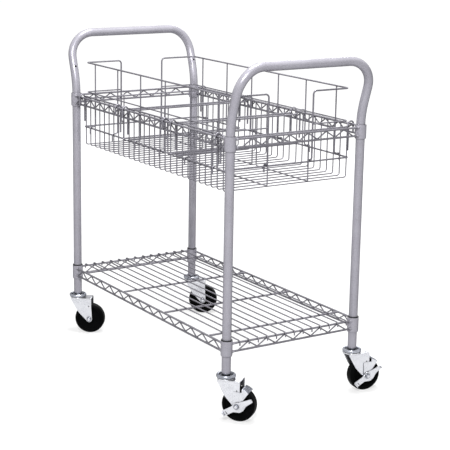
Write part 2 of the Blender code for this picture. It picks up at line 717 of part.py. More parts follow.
def along_axle(mesh):
    """Turn a shape made about Z so that it lies along Y, its top towards -Y."""
    mesh.transform(Matrix.Rotation(math.pi / 2, 4, "X"))
    return mesh


def wheel_mesh():
    """Tyre, web and hub of one wheel about its axle, with a flat of its rim turned to the floor."""
    rim_radius = WHEEL_RADIUS / math.cos(math.pi / WHEEL_SIDES)
    crown = WHEEL_HALF_WIDTH - WHEEL_EDGE_BEVEL
    tread_inner = WHEEL_RADIUS - WHEEL_TREAD_DEPTH
    bore = BUSHING_RADIUS + SEAT_GAP
    half = [
        (rim_radius, crown),
        (WHEEL_RADIUS - WHEEL_EDGE_BEVEL, WHEEL_HALF_WIDTH),
        (tread_inner, WHEEL_WEB_HALF_WIDTH),
        (WHEEL_HUB_RADIUS, WHEEL_WEB_HALF_WIDTH),
        (WHEEL_HUB_RADIUS, WHEEL_HUB_HALF_WIDTH),
        (bore, WHEEL_HUB_HALF_WIDTH),
    ]
    profile = list(reversed(half)) + [(radius, -height) for radius, height in half]
    mesh = turned(profile, WHEEL_SIDES, closed=True)
    mesh.transform(Matrix.Rotation(math.pi / WHEEL_SIDES - math.pi / 2, 4, "Z"))
    return along_axle(mesh)


def axle_mesh(stack):
    """Bushing, bolt, head and nut in one turned piece. stack is what the bolt clamps outside the -Y fork side."""
    shoulder = FORK_HALF_WIDTH - FORK_PLATE - SEAT_GAP
    nut_face = FORK_HALF_WIDTH + stack + SEAT_GAP
    head_face = FORK_HALF_WIDTH + SEAT_GAP
    bolt_end = nut_face + NUT_THICKNESS + BOLT_END_REACH
    profile = [
        (0, bolt_end),
        (AXLE_RADIUS, bolt_end),
        (AXLE_RADIUS, nut_face + NUT_THICKNESS),
        (NUT_RADIUS, nut_face + NUT_THICKNESS),
        (NUT_RADIUS, nut_face),
        (AXLE_RADIUS, nut_face),
        (AXLE_RADIUS, shoulder),
        (BUSHING_RADIUS, shoulder),
        (BUSHING_RADIUS, -shoulder),
        (AXLE_RADIUS, -shoulder),
        (AXLE_RADIUS, -head_face),
        (NUT_RADIUS, -head_face),
        (NUT_RADIUS, -head_face - NUT_THICKNESS),
        (0, -head_face - NUT_THICKNESS),
    ]
    return along_axle(turned(profile, AXLE_SIDES))


def brake_arm_mesh():
    """Plate on the axle that carries the brake shoe over the tyre, in the axle's frame."""
    middle = -(FORK_HALF_WIDTH + SEAT_GAP + BRAKE_PLATE / 2)
    inner = WHEEL_RADIUS + SHOE_CLEARANCE
    outer = inner + SHOE_PLATE
    first, last = math.pi / 2 - SHOE_START_ANGLE, math.pi / 2 - SHOE_END_ANGLE
    centre_line = (inner + outer) / 2
    top = arc(0, 0, centre_line, first, last, SHOE_STEPS)
    toe = arc(0, 0, ARM_TOE_RADIUS, -math.radians(10), -math.radians(190), FORK_TOE_STEPS)
    outline = [(-ARM_FRONT, ARM_TOP), (top[0][0], ARM_TOP), *top, (ARM_WAIST_REAR, ARM_WAIST_HEIGHT), *toe]
    hole = (AXLE_RADIUS + SEAT_GAP) / math.cos(math.pi / AXLE_SIDES) + SHOE_TRAVEL
    arm = plate(outline, middle, BRAKE_PLATE, holes=[(0, 0, hole)])
    near = middle - BRAKE_PLATE / 2
    far = WHEEL_HALF_WIDTH
    band = arc(0, 0, outer, first, last, SHOE_STEPS) + arc(0, 0, inner, last, first, SHOE_STEPS)
    shoe = plate(band, (near + far) / 2, far - near)
    return combined([arm, shoe], "UNION")


def brake_pedal_mesh():
    """Two-armed pedal plate on the axle, in the axle's frame."""
    middle = -(FORK_HALF_WIDTH + BRAKE_PLATE + 2 * SEAT_GAP + PEDAL_PLATE / 2)
    outline = [(PEDAL_REACH * x, PEDAL_REACH * z) for x, z in PEDAL_OUTLINE_SHARES]
    hole = (AXLE_RADIUS + SEAT_GAP) / math.cos(math.pi / AXLE_SIDES)
    return plate(outline, middle, PEDAL_PLATE, holes=[(0, 0, hole)])


def make_casters(cart):
    """Four swivel casters, turned as they stand, with side brakes at the rear."""
    brake_stack = BRAKE_PLATE + PEDAL_PLATE + 2 * SEAT_GAP
    stem, fork, wheel = stem_mesh(), fork_mesh(), wheel_mesh()
    axles = {True: axle_mesh(brake_stack), False: axle_mesh(0)}
    arm, pedal = brake_arm_mesh(), brake_pedal_mesh()
    for name, along, across, turn, braked in CORNERS:
        place = (along * HALF_LENGTH, across * HALF_WIDTH, 0)
        cart.add(f"stem_{name}", stem, "zinc", place=place)
        swivel = cart.empty(f"swivel_{name}", cart.origin, place, turn)
        hub = cart.empty(f"hub_{name}", swivel, (CASTER_TRAIL, 0, AXLE_HEIGHT))
        cart.add(f"fork_{name}", fork, "zinc", parent=swivel)
        cart.add(f"axle_{name}", axles[braked], "zinc", parent=hub)
        cart.add(f"wheel_{name}", wheel, "rubber", parent=hub)
        if braked:
            cart.add(f"brake_arm_{name}", arm, "zinc", parent=hub)
            cart.add(f"brake_pedal_{name}", pedal, "zinc", parent=hub)


def main():
    clear_scene()
    cart = Cart()
    make_posts(cart)
    make_handles(cart)
    make_collars(cart, "lower", LOWER_COLLAR_BASE, LOWER_COLLAR_HEIGHT)
    make_collars(cart, "upper", UPPER_COLLAR_BASE, UPPER_COLLAR_HEIGHT)
    make_frame(cart, "lower", LOWER_FRAME_HEIGHT)
    make_frame(cart, "upper", UPPER_FRAME_HEIGHT)
    make_deck(cart)
    make_baskets(cart)
    make_file_rails(cart)
    make_casters(cart)
    cart.centre_origin()


main()
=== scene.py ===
"""Dresses the wire mail cart: smooth tubes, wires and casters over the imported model, with their finishes.

Metres, +Z up, rear end at +X, left side at -Y, the floor at zero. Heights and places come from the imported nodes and
joints. The wire sizes, pitches and bends are the cart's own and stand as fields of the class that uses them. A section
or outline that stands as a table has a row for each point, and the third number of a row rounds that point.
"""

import json
import logging
import math
from collections.abc import Callable, Iterable, Sequence
from dataclasses import dataclass, field
from enum import Enum

import bmesh
import bpy
from mathutils import Matrix, Vector

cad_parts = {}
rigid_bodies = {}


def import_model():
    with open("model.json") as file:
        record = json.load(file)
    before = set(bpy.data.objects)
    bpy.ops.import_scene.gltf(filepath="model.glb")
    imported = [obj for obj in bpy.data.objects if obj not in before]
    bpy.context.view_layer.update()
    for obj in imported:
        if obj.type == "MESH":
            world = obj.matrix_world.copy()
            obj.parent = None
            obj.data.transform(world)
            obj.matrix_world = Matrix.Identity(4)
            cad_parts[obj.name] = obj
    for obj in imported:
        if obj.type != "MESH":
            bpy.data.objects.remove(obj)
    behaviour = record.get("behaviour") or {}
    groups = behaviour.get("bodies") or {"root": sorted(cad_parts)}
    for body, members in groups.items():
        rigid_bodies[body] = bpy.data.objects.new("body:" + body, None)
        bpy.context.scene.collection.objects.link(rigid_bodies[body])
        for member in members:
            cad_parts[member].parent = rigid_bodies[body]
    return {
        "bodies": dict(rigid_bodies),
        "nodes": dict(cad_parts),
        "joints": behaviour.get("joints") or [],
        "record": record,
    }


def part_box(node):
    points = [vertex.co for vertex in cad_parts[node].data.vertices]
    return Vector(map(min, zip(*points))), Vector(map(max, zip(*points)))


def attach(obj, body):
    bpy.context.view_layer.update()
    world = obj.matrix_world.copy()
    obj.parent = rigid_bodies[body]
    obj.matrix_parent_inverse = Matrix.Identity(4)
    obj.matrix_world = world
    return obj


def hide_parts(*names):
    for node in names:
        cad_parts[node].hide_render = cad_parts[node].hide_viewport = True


log = logging.getLogger("mail_cart")

MILLIMETRE = 0.001
MERGE_DISTANCE = 1e-6
CREASE_ANGLE = math.radians(38)
BEVEL_ANGLE = math.radians(45)
QUARTER_TURN = math.pi / 2
CLEARANCE = 0.0003
TUBE_RADIUS = 0.0127
BREAKS_PER_CLOUD = 8

Piece = bpy.types.Object
Socket = bpy.types.NodeSocket
Outputs = bpy.types.bpy_prop_collection
Inputs = dict[str | int, object]
Colour = tuple[float, float, float]
Place = tuple[float, float, float]
Pair = tuple[float, float]
Table = tuple[tuple[float, ...], ...]


class Slot(Enum):
    """The material slots of the record."""

    PAINT = "silver_paint"
    ZINC = "bright_zinc"
    RUBBER = "black_rubber"
    PLASTIC = "black_plastic"


class Corner(Enum):
    """The four corners of the cart, each with a post and a caster."""

    REAR_LEFT = "rear_left"
    REAR_RIGHT = "rear_right"
    FRONT_LEFT = "front_left"
    FRONT_RIGHT = "front_right"

    @property
    def along(self) -> int:
        """Side along the length: 1 at the rear, -1 at the front."""
        return 1 if self.value.startswith("rear") else -1

    @property
    def across(self) -> int:
        """Side across the width: 1 on the right, -1 on the left."""
        return 1 if self.value.endswith("right") else -1

    @property
    def braked(self) -> bool:
        """Whether the caster there has a side brake."""
        return self.along > 0


class Level(Enum):
    """The two levels that have a wire frame."""

    LOWER = "lower"
    UPPER = "upper"


class Facing(Enum):
    """A way that a part of the cart faces, 1 or -1 along its axis."""

    @property
    def word(self) -> str:
        """Its word in node names."""
        return self.name.lower()

    @property
    def turn(self) -> Matrix:
        """What turns a part that was made to face +1 this way."""
        return turned(0 if self.value > 0 else math.pi)


class End(Facing):
    """The two ends of the cart, with the way each one faces along X."""

    REAR = 1
    FRONT = -1


class Side(Facing):
    """The two sides of the cart, with the way each one faces along Y."""

    LEFT = -1
    RIGHT = 1


class Element(Enum):
    """What a mesh is selected by, with the name of its list in a bmesh."""

    VERT = "verts"
    EDGE = "edges"
    FACE = "faces"


@dataclass(frozen=True)
class Bend:
    """One point of a path, and the radius that the path is rounded to there."""

    place: Vector
    radius: float = 0.0


def bends(*points: Sequence[float]) -> list[Bend]:
    """Points of a path, each given as X, Y, Z and its bend radius if it has one."""
    return [Bend(Vector(point[:3]), *point[3:]) for point in points]


def upright(*points: Sequence[float]) -> list[Bend]:
    """Points of a path or outline in the XZ plane, each given as X, Z and its bend radius if it has one."""
    return bends(*((x, 0, z, *radius) for x, z, *radius in points))


def across(*points: Sequence[float]) -> list[Bend]:
    """Points of a path across the cart, each given as Y, Z and its bend radius if it has one."""
    return bends(*((0, y, z, *radius) for y, z, *radius in points))


def mirrored(path: Sequence[Bend], axis: int) -> list[Bend]:
    """A path run backwards on the other side of the origin, along axis 0, 1 or 2."""
    flip = Vector([-1 if number == axis else 1 for number in range(3)])
    return [Bend(bend.place * flip, bend.radius) for bend in reversed(path)]


def arc(radius: float, angles: Iterable[float], x: float = 0.0, z: float = 0.0) -> list[Pair]:
    """Points in the XZ plane at these angles round a centre."""
    return [(x + radius * math.cos(angle), z + radius * math.sin(angle)) for angle in angles]


def raised(section: Table, height: float) -> list[tuple[float, ...]]:
    """The rows of a section, moved up by a height."""
    return [(x, z + height, *radius) for x, z, *radius in section]


def moved(x: float = 0.0, y: float = 0.0, z: float = 0.0) -> Matrix:
    """A move along the axes."""
    return Matrix.Translation((x, y, z))


def turned(angle: float, axis: str = "Z") -> Matrix:
    """A turn about an axis through the origin."""
    return Matrix.Rotation(angle, 4, axis)


class Bench:
    """Models one mesh at a time with Blender's edit-mode operators, as by hand."""

    bend_segments: int = 6
    bend_share: float = 0.499

    def clear(self) -> None:
        """Leave edit mode and deselect everything."""
        if bpy.context.mode != "OBJECT":
            bpy.ops.object.mode_set(mode="OBJECT")
        bpy.ops.object.select_all(action="DESELECT")

    def pick(self, *pieces: Piece) -> Piece:
        """Select these pieces alone, out of edit mode, with the first one active.

        Args:
            pieces: One or more pieces.

        Returns:
            The first of them.
        """
        self.clear()
        for piece in pieces:
            piece.select_set(True)
        bpy.context.view_layer.objects.active = pieces[0]
        return pieces[0]

    def discard(self, *pieces: Piece) -> None:
        """Take away pieces that were only needed to make others."""
        for piece in pieces:
            bpy.data.objects.remove(piece, do_unlink=True)

    def begin(self, place: Vector) -> Piece:
        """Open a new mesh in edit mode that holds one selected point at a place.

        Args:
            place: Where the point lies.

        Returns:
            The new piece.
        """
        self.clear()
        bpy.ops.mesh.primitive_plane_add(size=MILLIMETRE)
        bpy.ops.object.mode_set(mode="EDIT")
        bpy.ops.mesh.select_mode(type="VERT")
        bpy.ops.mesh.select_all(action="SELECT")
        bpy.ops.mesh.merge(type="CENTER")
        bpy.ops.transform.translate(value=place)
        return bpy.context.object

    def select(self, piece: Piece, kind: Element, test: Callable[..., bool]) -> None:
        """Select what passes a test on a piece in edit mode.

        Args:
            piece: The piece.
            kind: Whether its points, edges or faces are tested.
            test: Takes one of them and says whether it is selected.
        """
        bpy.ops.mesh.select_mode(type=kind.name)
        bpy.ops.mesh.select_all(action="DESELECT")
        shape = bmesh.from_edit_mesh(piece.data)
        for element in getattr(shape, kind.value):
            element.select = test(element)
        shape.select_flush_mode()
        bmesh.update_edit_mesh(piece.data)

    def select_at(self, piece: Piece, places: Sequence[Vector]) -> None:
        """Select the points of a piece in edit mode that lie at these places.

        Args:
            piece: The piece.
            places: Where the points lie.
        """
        self.select(
            piece, Element.VERT, lambda point: any((point.co - place).length < MERGE_DISTANCE for place in places)
        )

    def draw(self, path: Sequence[Bend], closed: bool = False) -> Piece:
        """Extrude a point along a path and round its bends.

        Args:
            path: The points in order, each with its bend radius.
            closed: Whether the last point joins the first.

        Returns:
            The new piece, in edit mode.
        """
        piece = self.begin(path[0].place)
        for here, there in zip(path, path[1:]):
            bpy.ops.mesh.extrude_region_move(TRANSFORM_OT_translate={"value": there.place - here.place})
        if closed:
            self.select_at(piece, (path[0].place, path[-1].place))
            bpy.ops.mesh.edge_face_add()
        self.round_bends(piece, path, closed)
        return piece

    def round_bends(self, piece: Piece, path: Sequence[Bend], closed: bool) -> None:
        """Bevel the points of a drawn path that have a bend radius, those of one setback together.

        Args:
            piece: The drawn piece, in edit mode.
            path: The points that it was drawn through.
            closed: Whether its last point joins the first.
        """
        groups: dict[float, list[Vector]] = {}
        for number, bend in enumerate(path):
            if not bend.radius or (not closed and number in (0, len(path) - 1)):
                continue
            before = path[number - 1].place - bend.place
            after = path[(number + 1) % len(path)].place - bend.place
            turn = math.pi - before.angle(after)
            room = self.bend_share * min(before.length, after.length)
            setback = min(bend.radius * math.tan(turn / 2), room)
            groups.setdefault(round(setback, 6), []).append(bend.place)
        for setback, places in groups.items():
            self.select_at(piece, places)
            bpy.ops.mesh.bevel(
                offset_type="OFFSET", offset=setback, segments=self.bend_segments, profile=0.5, affect="VERTICES"
            )

    def smooth(self, piece: Piece) -> Piece:
        """Leave edit mode and shade a piece smooth, with creases where its faces turn sharply.

        Args:
            piece: The piece.

        Returns:
            The piece.
        """
        self.pick(piece)
        bpy.ops.object.shade_smooth_by_angle(angle=CREASE_ANGLE)
        return piece

    def wire(self, path: Sequence[Bend], diameter: float, closed: bool = False, sides: int = 12) -> Piece:
        """A round wire or tube along a path.

        Args:
            path: The points of its centre line, each with its bend radius.
            diameter: The wire's diameter.
            closed: Whether it is a ring.
            sides: How many flat sides stand for its round section.

        Returns:
            The finished piece.
        """
        self.draw(path, closed)
        bpy.ops.object.mode_set(mode="OBJECT")
        bpy.ops.object.convert(target="CURVE")
        curve = bpy.context.object.data
        curve.bevel_depth = diameter / 2
        curve.bevel_resolution = (sides - 4) // 2
        curve.use_fill_caps = True
        bpy.ops.object.convert(target="MESH")
        return self.smooth(bpy.context.object)

    def face_outwards(self, piece: Piece) -> None:
        """Turn every face of a closed piece in edit mode outwards.

        Args:
            piece: The piece.
        """
        bpy.ops.mesh.select_all(action="SELECT")
        bpy.ops.mesh.normals_make_consistent(inside=False)
        if bmesh.from_edit_mesh(piece.data).calc_volume(signed=True) < 0:
            bpy.ops.mesh.flip_normals()

    def lathe(self, profile: Sequence[Bend], closed: bool = False, steps: int = 48) -> Piece:
        """Spin a profile in the XZ plane about Z.

        Args:
            profile: Its points, each with a rounding radius.
            closed: Whether the profile is a loop that stays clear of the axis.
            steps: How many steps the turn has.

        Returns:
            The finished piece.
        """
        piece = self.draw(profile, closed)
        bpy.ops.mesh.select_all(action="SELECT")
        bpy.ops.mesh.spin(steps=steps, angle=math.tau, center=(0, 0, 0), axis=(0, 0, 1))
        bpy.ops.mesh.select_all(action="SELECT")
        bpy.ops.mesh.remove_doubles(threshold=MERGE_DISTANCE)
        self.face_outwards(piece)
        return self.smooth(piece)

    def slab(self, outline: Sequence[Bend], depth: float, start: float) -> Piece:
        """Extrude an outline in the XZ plane along +Y into a solid that starts at a Y, left in edit mode.

        Args:
            outline: Its points, each with a rounding radius.
            depth: How thick the solid is.
            start: The Y of its first face.

        Returns:
            The new piece, in edit mode.
        """
        piece = self.draw(outline, closed=True)
        bpy.ops.mesh.select_all(action="SELECT")
        bpy.ops.mesh.edge_face_add()
        bpy.ops.mesh.extrude_region_move(TRANSFORM_OT_translate={"value": (0, depth, 0)})
        self.face_outwards(piece)
        bpy.ops.transform.translate(value=(0, start, 0))
        return piece

    def modify(self, piece: Piece, kind: str, **values: object) -> Piece:
        """Add one modifier to a piece with these values, and apply it.

        Args:
            piece: The piece.
            kind: The modifier's type.
            values: Its settings, by name.

        Returns:
            The piece.
        """
        modifier = self.pick(piece).modifiers.new(kind.lower(), kind)
        for name, value in values.items():
            setattr(modifier, name, value)
        bpy.ops.object.modifier_apply(modifier=modifier.name)
        return piece

    def soften(self, piece: Piece, width: float, segments: int = 2) -> Piece:
        """Round every sharp edge of a piece a little."""
        self.modify(piece, "BEVEL", width=width, segments=segments, limit_method="ANGLE", angle_limit=BEVEL_ANGLE)
        return self.smooth(piece)

    def cut(self, piece: Piece, *cutters: Piece) -> Piece:
        """Cut a piece with others, which go.

        Args:
            piece: The piece.
            cutters: What is cut out of it.

        Returns:
            The piece.
        """
        for cutter in cutters:
            self.modify(piece, "BOOLEAN", operation="DIFFERENCE", solver="EXACT", object=cutter)
        self.discard(*cutters)
        return piece

    def rod(self, start: Sequence[float], end: Sequence[float], radius: float, sides: int) -> Piece:
        """A plain cylinder between two points, to cut with.

        Args:
            start: The middle of one end.
            end: The middle of the other end.
            radius: Its radius.
            sides: How many flat sides stand for its round section.

        Returns:
            The cylinder.
        """
        axis = Vector(end) - Vector(start)
        self.clear()
        bpy.ops.mesh.primitive_cylinder_add(vertices=sides, radius=radius, depth=axis.length)
        turn = axis.to_track_quat("Z", "X").to_matrix().to_4x4()
        return self.place(bpy.context.object, Matrix.Translation((Vector(start) + Vector(end)) / 2) @ turn)

    def cube(self, length: float, depth: float, height: float) -> Piece:
        """A plain box about the origin, to cut with.

        Args:
            length: Its size along X.
            depth: Its size along Y.
            height: Its size along Z.

        Returns:
            The box.
        """
        self.clear()
        bpy.ops.mesh.primitive_cube_add(size=1)
        return self.place(bpy.context.object, Matrix.Diagonal((length, depth, height, 1)))

    def place(self, piece: Piece, matrix: Matrix) -> Piece:
        """Move a piece and put its place into its mesh, so that its object stays at the origin.

        Args:
            piece: The piece.
            matrix: Where it goes.

        Returns:
            The piece.
        """
        self.pick(piece).matrix_world = matrix
        bpy.ops.object.transform_apply(location=True, rotation=True, scale=True)
        return piece

    def copy(self, piece: Piece, matrix: Matrix) -> Piece:
        """A copy of a piece with its own mesh, moved by a matrix.

        Args:
            piece: The piece to copy.
            matrix: Where the copy goes.

        Returns:
            The copy.
        """
        twin = piece.copy()
        twin.data = piece.data.copy()
        bpy.context.scene.collection.objects.link(twin)
        return self.place(twin, matrix)

    def copies(self, piece: Piece, matrices: Iterable[Matrix]) -> list[Piece]:
        """Copies of a model at several places. The model itself goes.

        Args:
            piece: The model to copy.
            matrices: Where the copies go.

        Returns:
            The copies, in order.
        """
        made = [self.copy(piece, matrix) for matrix in matrices]
        self.discard(piece)
        return made

    def join(self, *pieces: Piece) -> Piece:
        """Join pieces into one mesh.

        Args:
            pieces: Two or more pieces.

        Returns:
            The joined piece, which is the first one.
        """
        self.pick(*pieces)
        bpy.ops.object.join()
        return pieces[0]


@dataclass(frozen=True)
class Wiring:
    """Adds shader nodes to one tree and wires them up."""

    tree: bpy.types.NodeTree

    def wire(self, node: bpy.types.Node, inputs: Inputs) -> None:
        """Link each input of a node to the socket given for it, or set it to the value.

        Args:
            node: The node.
            inputs: What each input gets, by its name or number.
        """
        for key, value in inputs.items():
            if isinstance(value, Socket):
                self.tree.links.new(value, node.inputs[key])
            else:
                node.inputs[key].default_value = value

    def add(self, kind: str, inputs: Inputs, **settings: object) -> Outputs:
        """Add a shader node.

        Args:
            kind: The node's kind, as its type's name ends.
            inputs: What each input gets, by its name or number.
            settings: The node's own settings.

        Returns:
            Its outputs.
        """
        node = self.tree.nodes.new(f"ShaderNode{kind}")
        for name, value in settings.items():
            setattr(node, name, value)
        self.wire(node, inputs)
        return node.outputs

    def noise(self, place: Socket, scale: Socket, detail: float = 2.0) -> Socket:
        """A noise over the surface."""
        return self.add("TexNoise", {"Vector": place, "Scale": scale, "Detail": detail})["Fac"]

    def mix(self, factor: Socket, under: object, over: object) -> Socket:
        """One colour laid over another."""
        return self.add("Mix", {"Factor": factor, 6: under, 7: over}, data_type="RGBA")[2]

    def product(self, first: Socket, second: Socket) -> Socket:
        """The product of two values, kept between zero and one."""
        return self.add("Math", {0: first, 1: second}, operation="MULTIPLY", use_clamp=True)["Value"]

    def total(self, first: Socket, second: Socket) -> Socket:
        """The sum of two values, kept between zero and one."""
        return self.add("Math", {0: first, 1: second}, use_clamp=True)["Value"]

    def spread(self, value: Socket, given: Pair = (0.0, 1.0), made: Pair = (0.0, 1.0)) -> Socket:
        """A value spread from one range over another, and kept inside it."""
        limits = dict(zip(("From Min", "From Max", "To Min", "To Max"), (*given, *made)))
        return self.add("MapRange", {"Value": value, **limits})["Result"]


class Kind(Enum):
    """The kinds of socket that the shared groups have."""

    VALUE = "NodeSocketFloat"
    VECTOR = "NodeSocketVector"
    COLOUR = "NodeSocketColor"


@dataclass(frozen=True)
class SurfaceGroups:
    """Node groups that several finishes share: a speckle, worn edges, painted shade in crevices and a layer of dust.
    """

    speckle: bpy.types.NodeTree
    dust: bpy.types.NodeTree
    edge: bpy.types.NodeTree
    grime: bpy.types.NodeTree


@dataclass(frozen=True)
class GroupMaker:
    """Builds the shared node groups."""

    flake_detail: float = 3.0
    cloud_detail: float = 4.0
    speckle_range: Pair = (0.32, 0.68)
    patch_detail: float = 5.0
    upward_range: Pair = (-0.2, 1.0)
    edge_samples: int = 4
    # The samples and the spread of the ambient occlusion behind the painted shade in crevices.
    crevice_samples: int = 8
    crevice_range: Pair = (0.85, 0.15)

    def build(self) -> SurfaceGroups:
        """Build each shared group once."""
        return SurfaceGroups(self.speckle(), self.dust(), self.edge(), self.grime())

    def start(
        self, name: str, inputs: dict[str, Kind], outputs: dict[str, Kind]
    ) -> tuple[Wiring, Outputs, bpy.types.Node]:
        """A new group with its sockets.

        Args:
            name: The group's name.
            inputs: Socket kinds by input name.
            outputs: Socket kinds by output name.

        Returns:
            The group's wiring, what it is given, and its output node.
        """
        tree = bpy.data.node_groups.new(name, "ShaderNodeTree")
        for way, sockets in (("INPUT", inputs), ("OUTPUT", outputs)):
            for label, kind in sockets.items():
                tree.interface.new_socket(name=label, in_out=way, socket_type=kind.value)
        return Wiring(tree), tree.nodes.new("NodeGroupInput").outputs, tree.nodes.new("NodeGroupOutput")

    def speckle(self) -> bpy.types.NodeTree:
        """Fine flakes over broad clouds, as a colour, a mask and a height.

        Returns:
            The group.
        """
        wiring, given, out = self.start(
            "speckle",
            {
                "Coordinates": Kind.VECTOR, "Flake Scale": Kind.VALUE, "Cloud Scale": Kind.VALUE,
                "Cloud Share": Kind.VALUE, "Dark": Kind.COLOUR, "Light": Kind.COLOUR,
            },
            {"Color": Kind.COLOUR, "Mask": Kind.VALUE, "Height": Kind.VALUE},
        )
        flakes = wiring.noise(given["Coordinates"], given["Flake Scale"], self.flake_detail)
        clouds = wiring.noise(given["Coordinates"], given["Cloud Scale"], self.cloud_detail)
        mixed = wiring.add("Mix", {"Factor": given["Cloud Share"], "A": flakes, "B": clouds})["Result"]
        mask = wiring.spread(mixed, self.speckle_range)
        wiring.wire(out, {"Color": wiring.mix(mask, given["Dark"], given["Light"]), "Mask": mask, "Height": flakes})
        return wiring.tree

    def dust(self) -> bpy.types.NodeTree:
        """Patchy dust on what faces up, laid over a colour.

        Returns:
            The group.
        """
        wiring, given, out = self.start(
            "dust",
            {
                "Coordinates": Kind.VECTOR, "Color": Kind.COLOUR, "Dust": Kind.COLOUR, "Amount": Kind.VALUE,
                "Patch Scale": Kind.VALUE,
            },
            {"Color": Kind.COLOUR},
        )
        normal = wiring.add("NewGeometry", {})["Normal"]
        upward = wiring.spread(wiring.add("SeparateXYZ", {"Vector": normal})["Z"], self.upward_range)
        patches = wiring.noise(given["Coordinates"], given["Patch Scale"], self.patch_detail)
        amount = wiring.product(wiring.product(upward, patches), given["Amount"])
        wiring.wire(out, {"Color": wiring.mix(amount, given["Color"], given["Dust"])})
        return wiring.tree

    def edge(self) -> bpy.types.NodeTree:
        """A mask of the narrow zone along sharp edges, broken up by a noise.

        Returns:
            The group.
        """
        wiring, given, out = self.start(
            "worn_edge",
            {"Coordinates": Kind.VECTOR, "Width": Kind.VALUE, "Break Scale": Kind.VALUE},
            {"Mask": Kind.VALUE},
        )
        rounded = wiring.add("Bevel", {"Radius": given["Width"]}, samples=self.edge_samples)["Normal"]
        flat = wiring.add("NewGeometry", {})["Normal"]
        turn = wiring.add("VectorMath", {0: rounded, 1: flat}, operation="DISTANCE")["Value"]
        breaks = wiring.noise(given["Coordinates"], given["Break Scale"])
        wiring.wire(out, {"Mask": wiring.product(turn, breaks)})
        return wiring.tree

    def grime(self) -> bpy.types.NodeTree:
        """Painted shade where surfaces close in on each other, found by ambient occlusion and laid over a colour.

        Returns:
            The group.
        """
        wiring, given, out = self.start(
            "grime",
            {"Color": Kind.COLOUR, "Grime": Kind.COLOUR, "Distance": Kind.VALUE, "Amount": Kind.VALUE},
            {"Color": Kind.COLOUR},
        )
        reach = {"Distance": given["Distance"]}
        open_share = wiring.add("AmbientOcclusion", reach, samples=self.crevice_samples)["AO"]
        amount = wiring.product(wiring.spread(open_share, self.crevice_range), given["Amount"])
        wiring.wire(out, {"Color": wiring.mix(amount, given["Color"], given["Grime"])})
        return wiring.tree


@dataclass(frozen=True)
class Finish:
    """A finish: its speckled colours, its gloss, its fine relief, its painted shade in crevices, and how dusty and
    worn it is.
    """

    name: str
    slot: Slot
    dark: Colour
    light: Colour
    metallic: float
    roughness: Pair
    flake_scale: float
    cloud_scale: float
    cloud_share: float
    relief: float
    relief_strength: float
    dust: Colour
    dust_amount: float
    edge_colour: Colour
    edge_width: float
    # The painted shade in crevices: its colour, how far the ambient occlusion reaches, and how much of it is laid on.
    grime: Colour
    grime_reach: float
    grime_amount: float
    specular: float = 0.5
    rim_tint: float = 1.0

    def material(self, groups: SurfaceGroups) -> bpy.types.Material:
        """Build the finish as a material.

        Args:
            groups: The shared node groups.

        Returns:
            The material, named after the finish.
        """
        material = bpy.data.materials.new(self.name)
        material.use_nodes = True
        wiring = Wiring(material.node_tree)
        place = wiring.add("TexCoord", {})["Object"]
        speckle = wiring.add("Group", {
            "Coordinates": place, "Flake Scale": self.flake_scale, "Cloud Scale": self.cloud_scale,
            "Cloud Share": self.cloud_share, "Dark": (*self.dark, 1), "Light": (*self.light, 1),
        }, node_tree=groups.speckle)
        edge = wiring.add("Group", {
            "Coordinates": place, "Width": self.edge_width, "Break Scale": self.cloud_scale * BREAKS_PER_CLOUD,
        }, node_tree=groups.edge)
        # Painted shade: the colour darkens where ambient occlusion finds crevices.
        grime = wiring.add("Group", {
            "Color": wiring.mix(edge["Mask"], speckle["Color"], (*self.edge_colour, 1)), "Grime": (*self.grime, 1),
            "Distance": self.grime_reach, "Amount": self.grime_amount,
        }, node_tree=groups.grime)
        dust = wiring.add("Group", {
            "Coordinates": place, "Color": grime["Color"], "Dust": (*self.dust, 1), "Amount": self.dust_amount,
            "Patch Scale": self.cloud_scale,
        }, node_tree=groups.dust)
        bump = wiring.add("Bump", {
            "Distance": self.relief, "Strength": self.relief_strength, "Height": speckle["Height"],
        })
        wiring.wire(material.node_tree.nodes["Principled BSDF"], {
            "Base Color": dust["Color"], "Metallic": self.metallic, "Normal": bump["Normal"],
            "Roughness": wiring.spread(speckle["Mask"], made=self.roughness),
            "Specular IOR Level": self.specular, "Specular Tint": (self.rim_tint, self.rim_tint, self.rim_tint, 1),
        })
        return material


SILVER_PAINT = Finish(
    name="silver_paint_coat", slot=Slot.PAINT, dark=(0.31, 0.301, 0.343), light=(0.45, 0.44, 0.493), metallic=0.30,
    roughness=(0.24, 0.34), flake_scale=900.0, cloud_scale=14.0, cloud_share=0.35, relief=0.00012,
    relief_strength=0.3, dust=(0.60, 0.585, 0.57), dust_amount=0.06, edge_colour=(0.66, 0.65, 0.70),
    edge_width=0.0006, grime=(0.05, 0.05, 0.06), grime_reach=0.007, grime_amount=0.9, specular=0.05, rim_tint=0.0,
)
# The silver paint again, made darker for the wires: the extra darkness is painted shade.
SHADED_WIRE_PAINT = Finish(
    name="silver_wire_coat", slot=Slot.PAINT, dark=(0.15, 0.145, 0.168), light=(0.27, 0.264, 0.298), metallic=0.35,
    roughness=(0.24, 0.36), flake_scale=1100.0, cloud_scale=9.0, cloud_share=0.6, relief=0.00008,
    relief_strength=0.25, dust=(0.42, 0.41, 0.41), dust_amount=0.22, edge_colour=(0.40, 0.39, 0.43),
    edge_width=0.0004, grime=(0.02, 0.02, 0.025), grime_reach=0.006, grime_amount=1.0, specular=0.05, rim_tint=0.0,
)
BRIGHT_ZINC = Finish(
    name="bright_zinc_plate", slot=Slot.ZINC, dark=(0.58, 0.59, 0.63), light=(0.74, 0.745, 0.78), metallic=0.85,
    roughness=(0.22, 0.36), flake_scale=420.0, cloud_scale=38.0, cloud_share=0.6, relief=0.00008,
    relief_strength=0.15, dust=(0.50, 0.49, 0.47), dust_amount=0.05, edge_colour=(0.90, 0.90, 0.93),
    edge_width=0.0008, grime=(0.05, 0.05, 0.06), grime_reach=0.008, grime_amount=0.9, specular=0.2, rim_tint=0.2,
)
